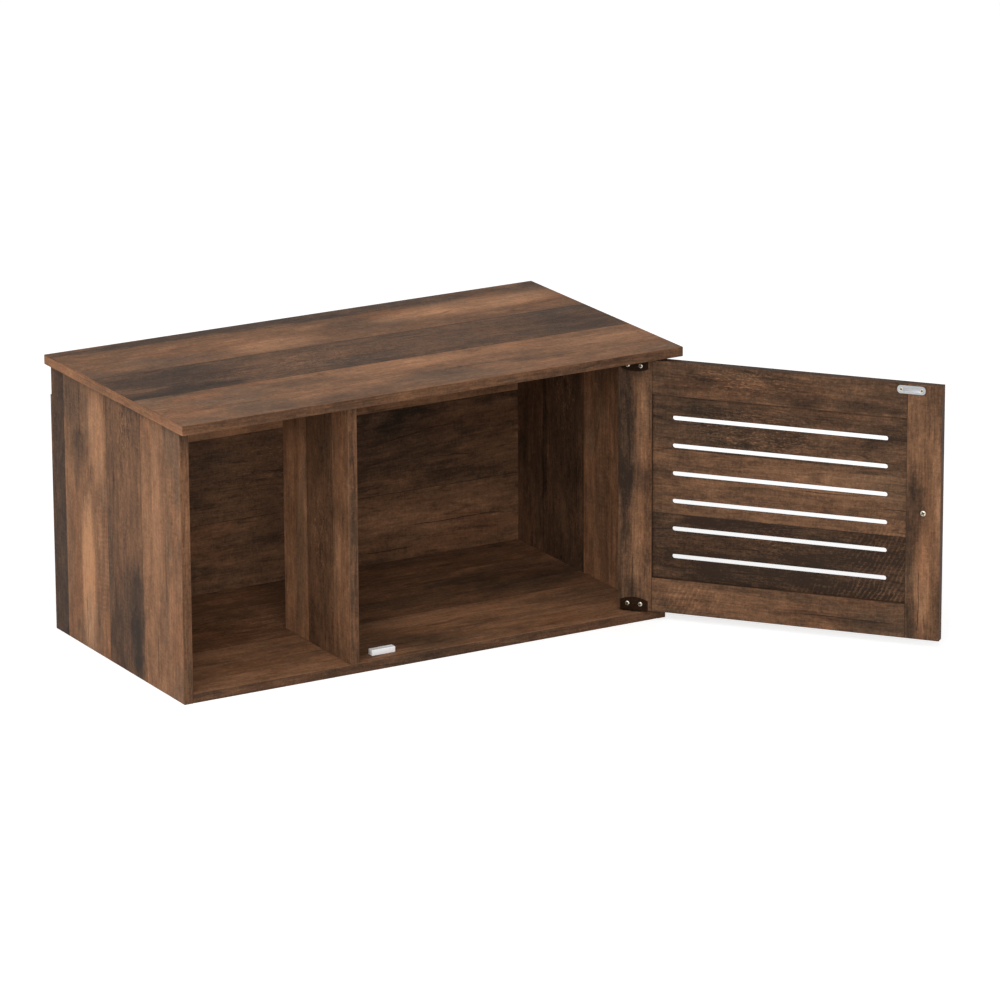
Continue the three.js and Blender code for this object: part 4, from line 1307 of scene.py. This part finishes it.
def soft_light(name, place, target, size, power):
    bpy.ops.object.light_add(type="AREA", location=place)
    light = bpy.context.object
    light.name = name
    light.data.shape = "RECTANGLE"
    light.data.size, light.data.size_y = size
    light.data.energy = power
    aim = Vector(target) - Vector(place)
    light.rotation_euler = aim.to_track_quat("-Z", "Y").to_euler()


class CABINET_OT_studio(bpy.types.Operator):
    """Adds the floor, the soft lights and the camera"""

    bl_idname = "cabinet.studio"
    bl_label = "Studio"

    def execute(self, context):
        look = context.scene.cabinet_studio
        deselect_all()
        bpy.ops.mesh.primitive_plane_add(size=FLOOR_SIZE, location=(0, 0, -FLOOR_DROP))
        floor = context.object
        floor.name = "studio_floor"
        bpy.ops.object.transform_apply(location=True, rotation=True, scale=True)
        floor.data.materials.append(floor_paint(tuple(look.floor_colour)))

        for name, place, target, size in SOFTBOXES:
            soft_light(name + "_softbox", place, target, size, getattr(look, name + "_power"))
        context.scene.world = white_room(look.sky)

        bpy.ops.object.camera_add(location=look.camera_place)
        camera = context.object
        camera.name = "photo_camera"
        camera.data.sensor_width = 36
        camera.data.lens = look.lens
        camera.data.clip_start, camera.data.clip_end = 0.1, 200
        azimuth, pitch = look.camera_azimuth, look.camera_pitch
        ahead, right = math.cos(azimuth) * math.cos(pitch), math.sin(azimuth) * math.cos(pitch)
        aim = Vector((right, ahead, -math.sin(pitch))).to_track_quat("-Z", "Y").to_matrix()
        camera.rotation_euler = (aim @ Matrix.Rotation(look.camera_roll, 3, "Z")).to_euler()
        context.scene.camera = camera
        context.scene.view_settings.view_transform = "Standard"
        return {"FINISHED"}


# -- The add-on --------------------------------------------------------

OPERATORS = (
    CABINET_OT_carcass, CABINET_OT_door, CABINET_OT_hinges, CABINET_OT_screws, CABINET_OT_strike,
    CABINET_OT_catches, CABINET_OT_knob, CABINET_OT_nails, CABINET_OT_fittings, CABINET_OT_studio,
)
GROUPS = {
    "cabinet_laminate": LaminateSettings,
    "cabinet_hardware": HardwareSettings,
    "cabinet_studio": StudioSettings,
}


class CABINET_PT_panel(bpy.types.Panel):
    """Lists the cabinet's settings and pieces"""

    bl_idname = "CABINET_PT_panel"
    bl_label = "Litter Box Cabinet"
    bl_space_type = "VIEW_3D"
    bl_region_type = "UI"
    bl_category = "Cabinet"

    def draw(self, context):
        for name, group in GROUPS.items():
            box = self.layout.box()
            box.label(text=name.replace("_", " ").title())
            for setting in group.__annotations__:
                box.prop(getattr(context.scene, name), setting)
        for operator in OPERATORS:
            self.layout.operator(operator.bl_idname)


def register():
    for cls in (*GROUPS.values(), *OPERATORS, CABINET_PT_panel):
        bpy.utils.register_class(cls)
    for name, group in GROUPS.items():
        setattr(bpy.types.Scene, name, bpy.props.PointerProperty(type=group))


def unregister():
    for name in GROUPS:
        delattr(bpy.types.Scene, name)
    for cls in reversed((*GROUPS.values(), *OPERATORS, CABINET_PT_panel)):
        bpy.utils.unregister_class(cls)


def main():
    register()
    for operator in OPERATORS:
        group, name = operator.bl_idname.split(".")
        getattr(getattr(bpy.ops, group), name)()


if __name__ == "__main__":
    main()
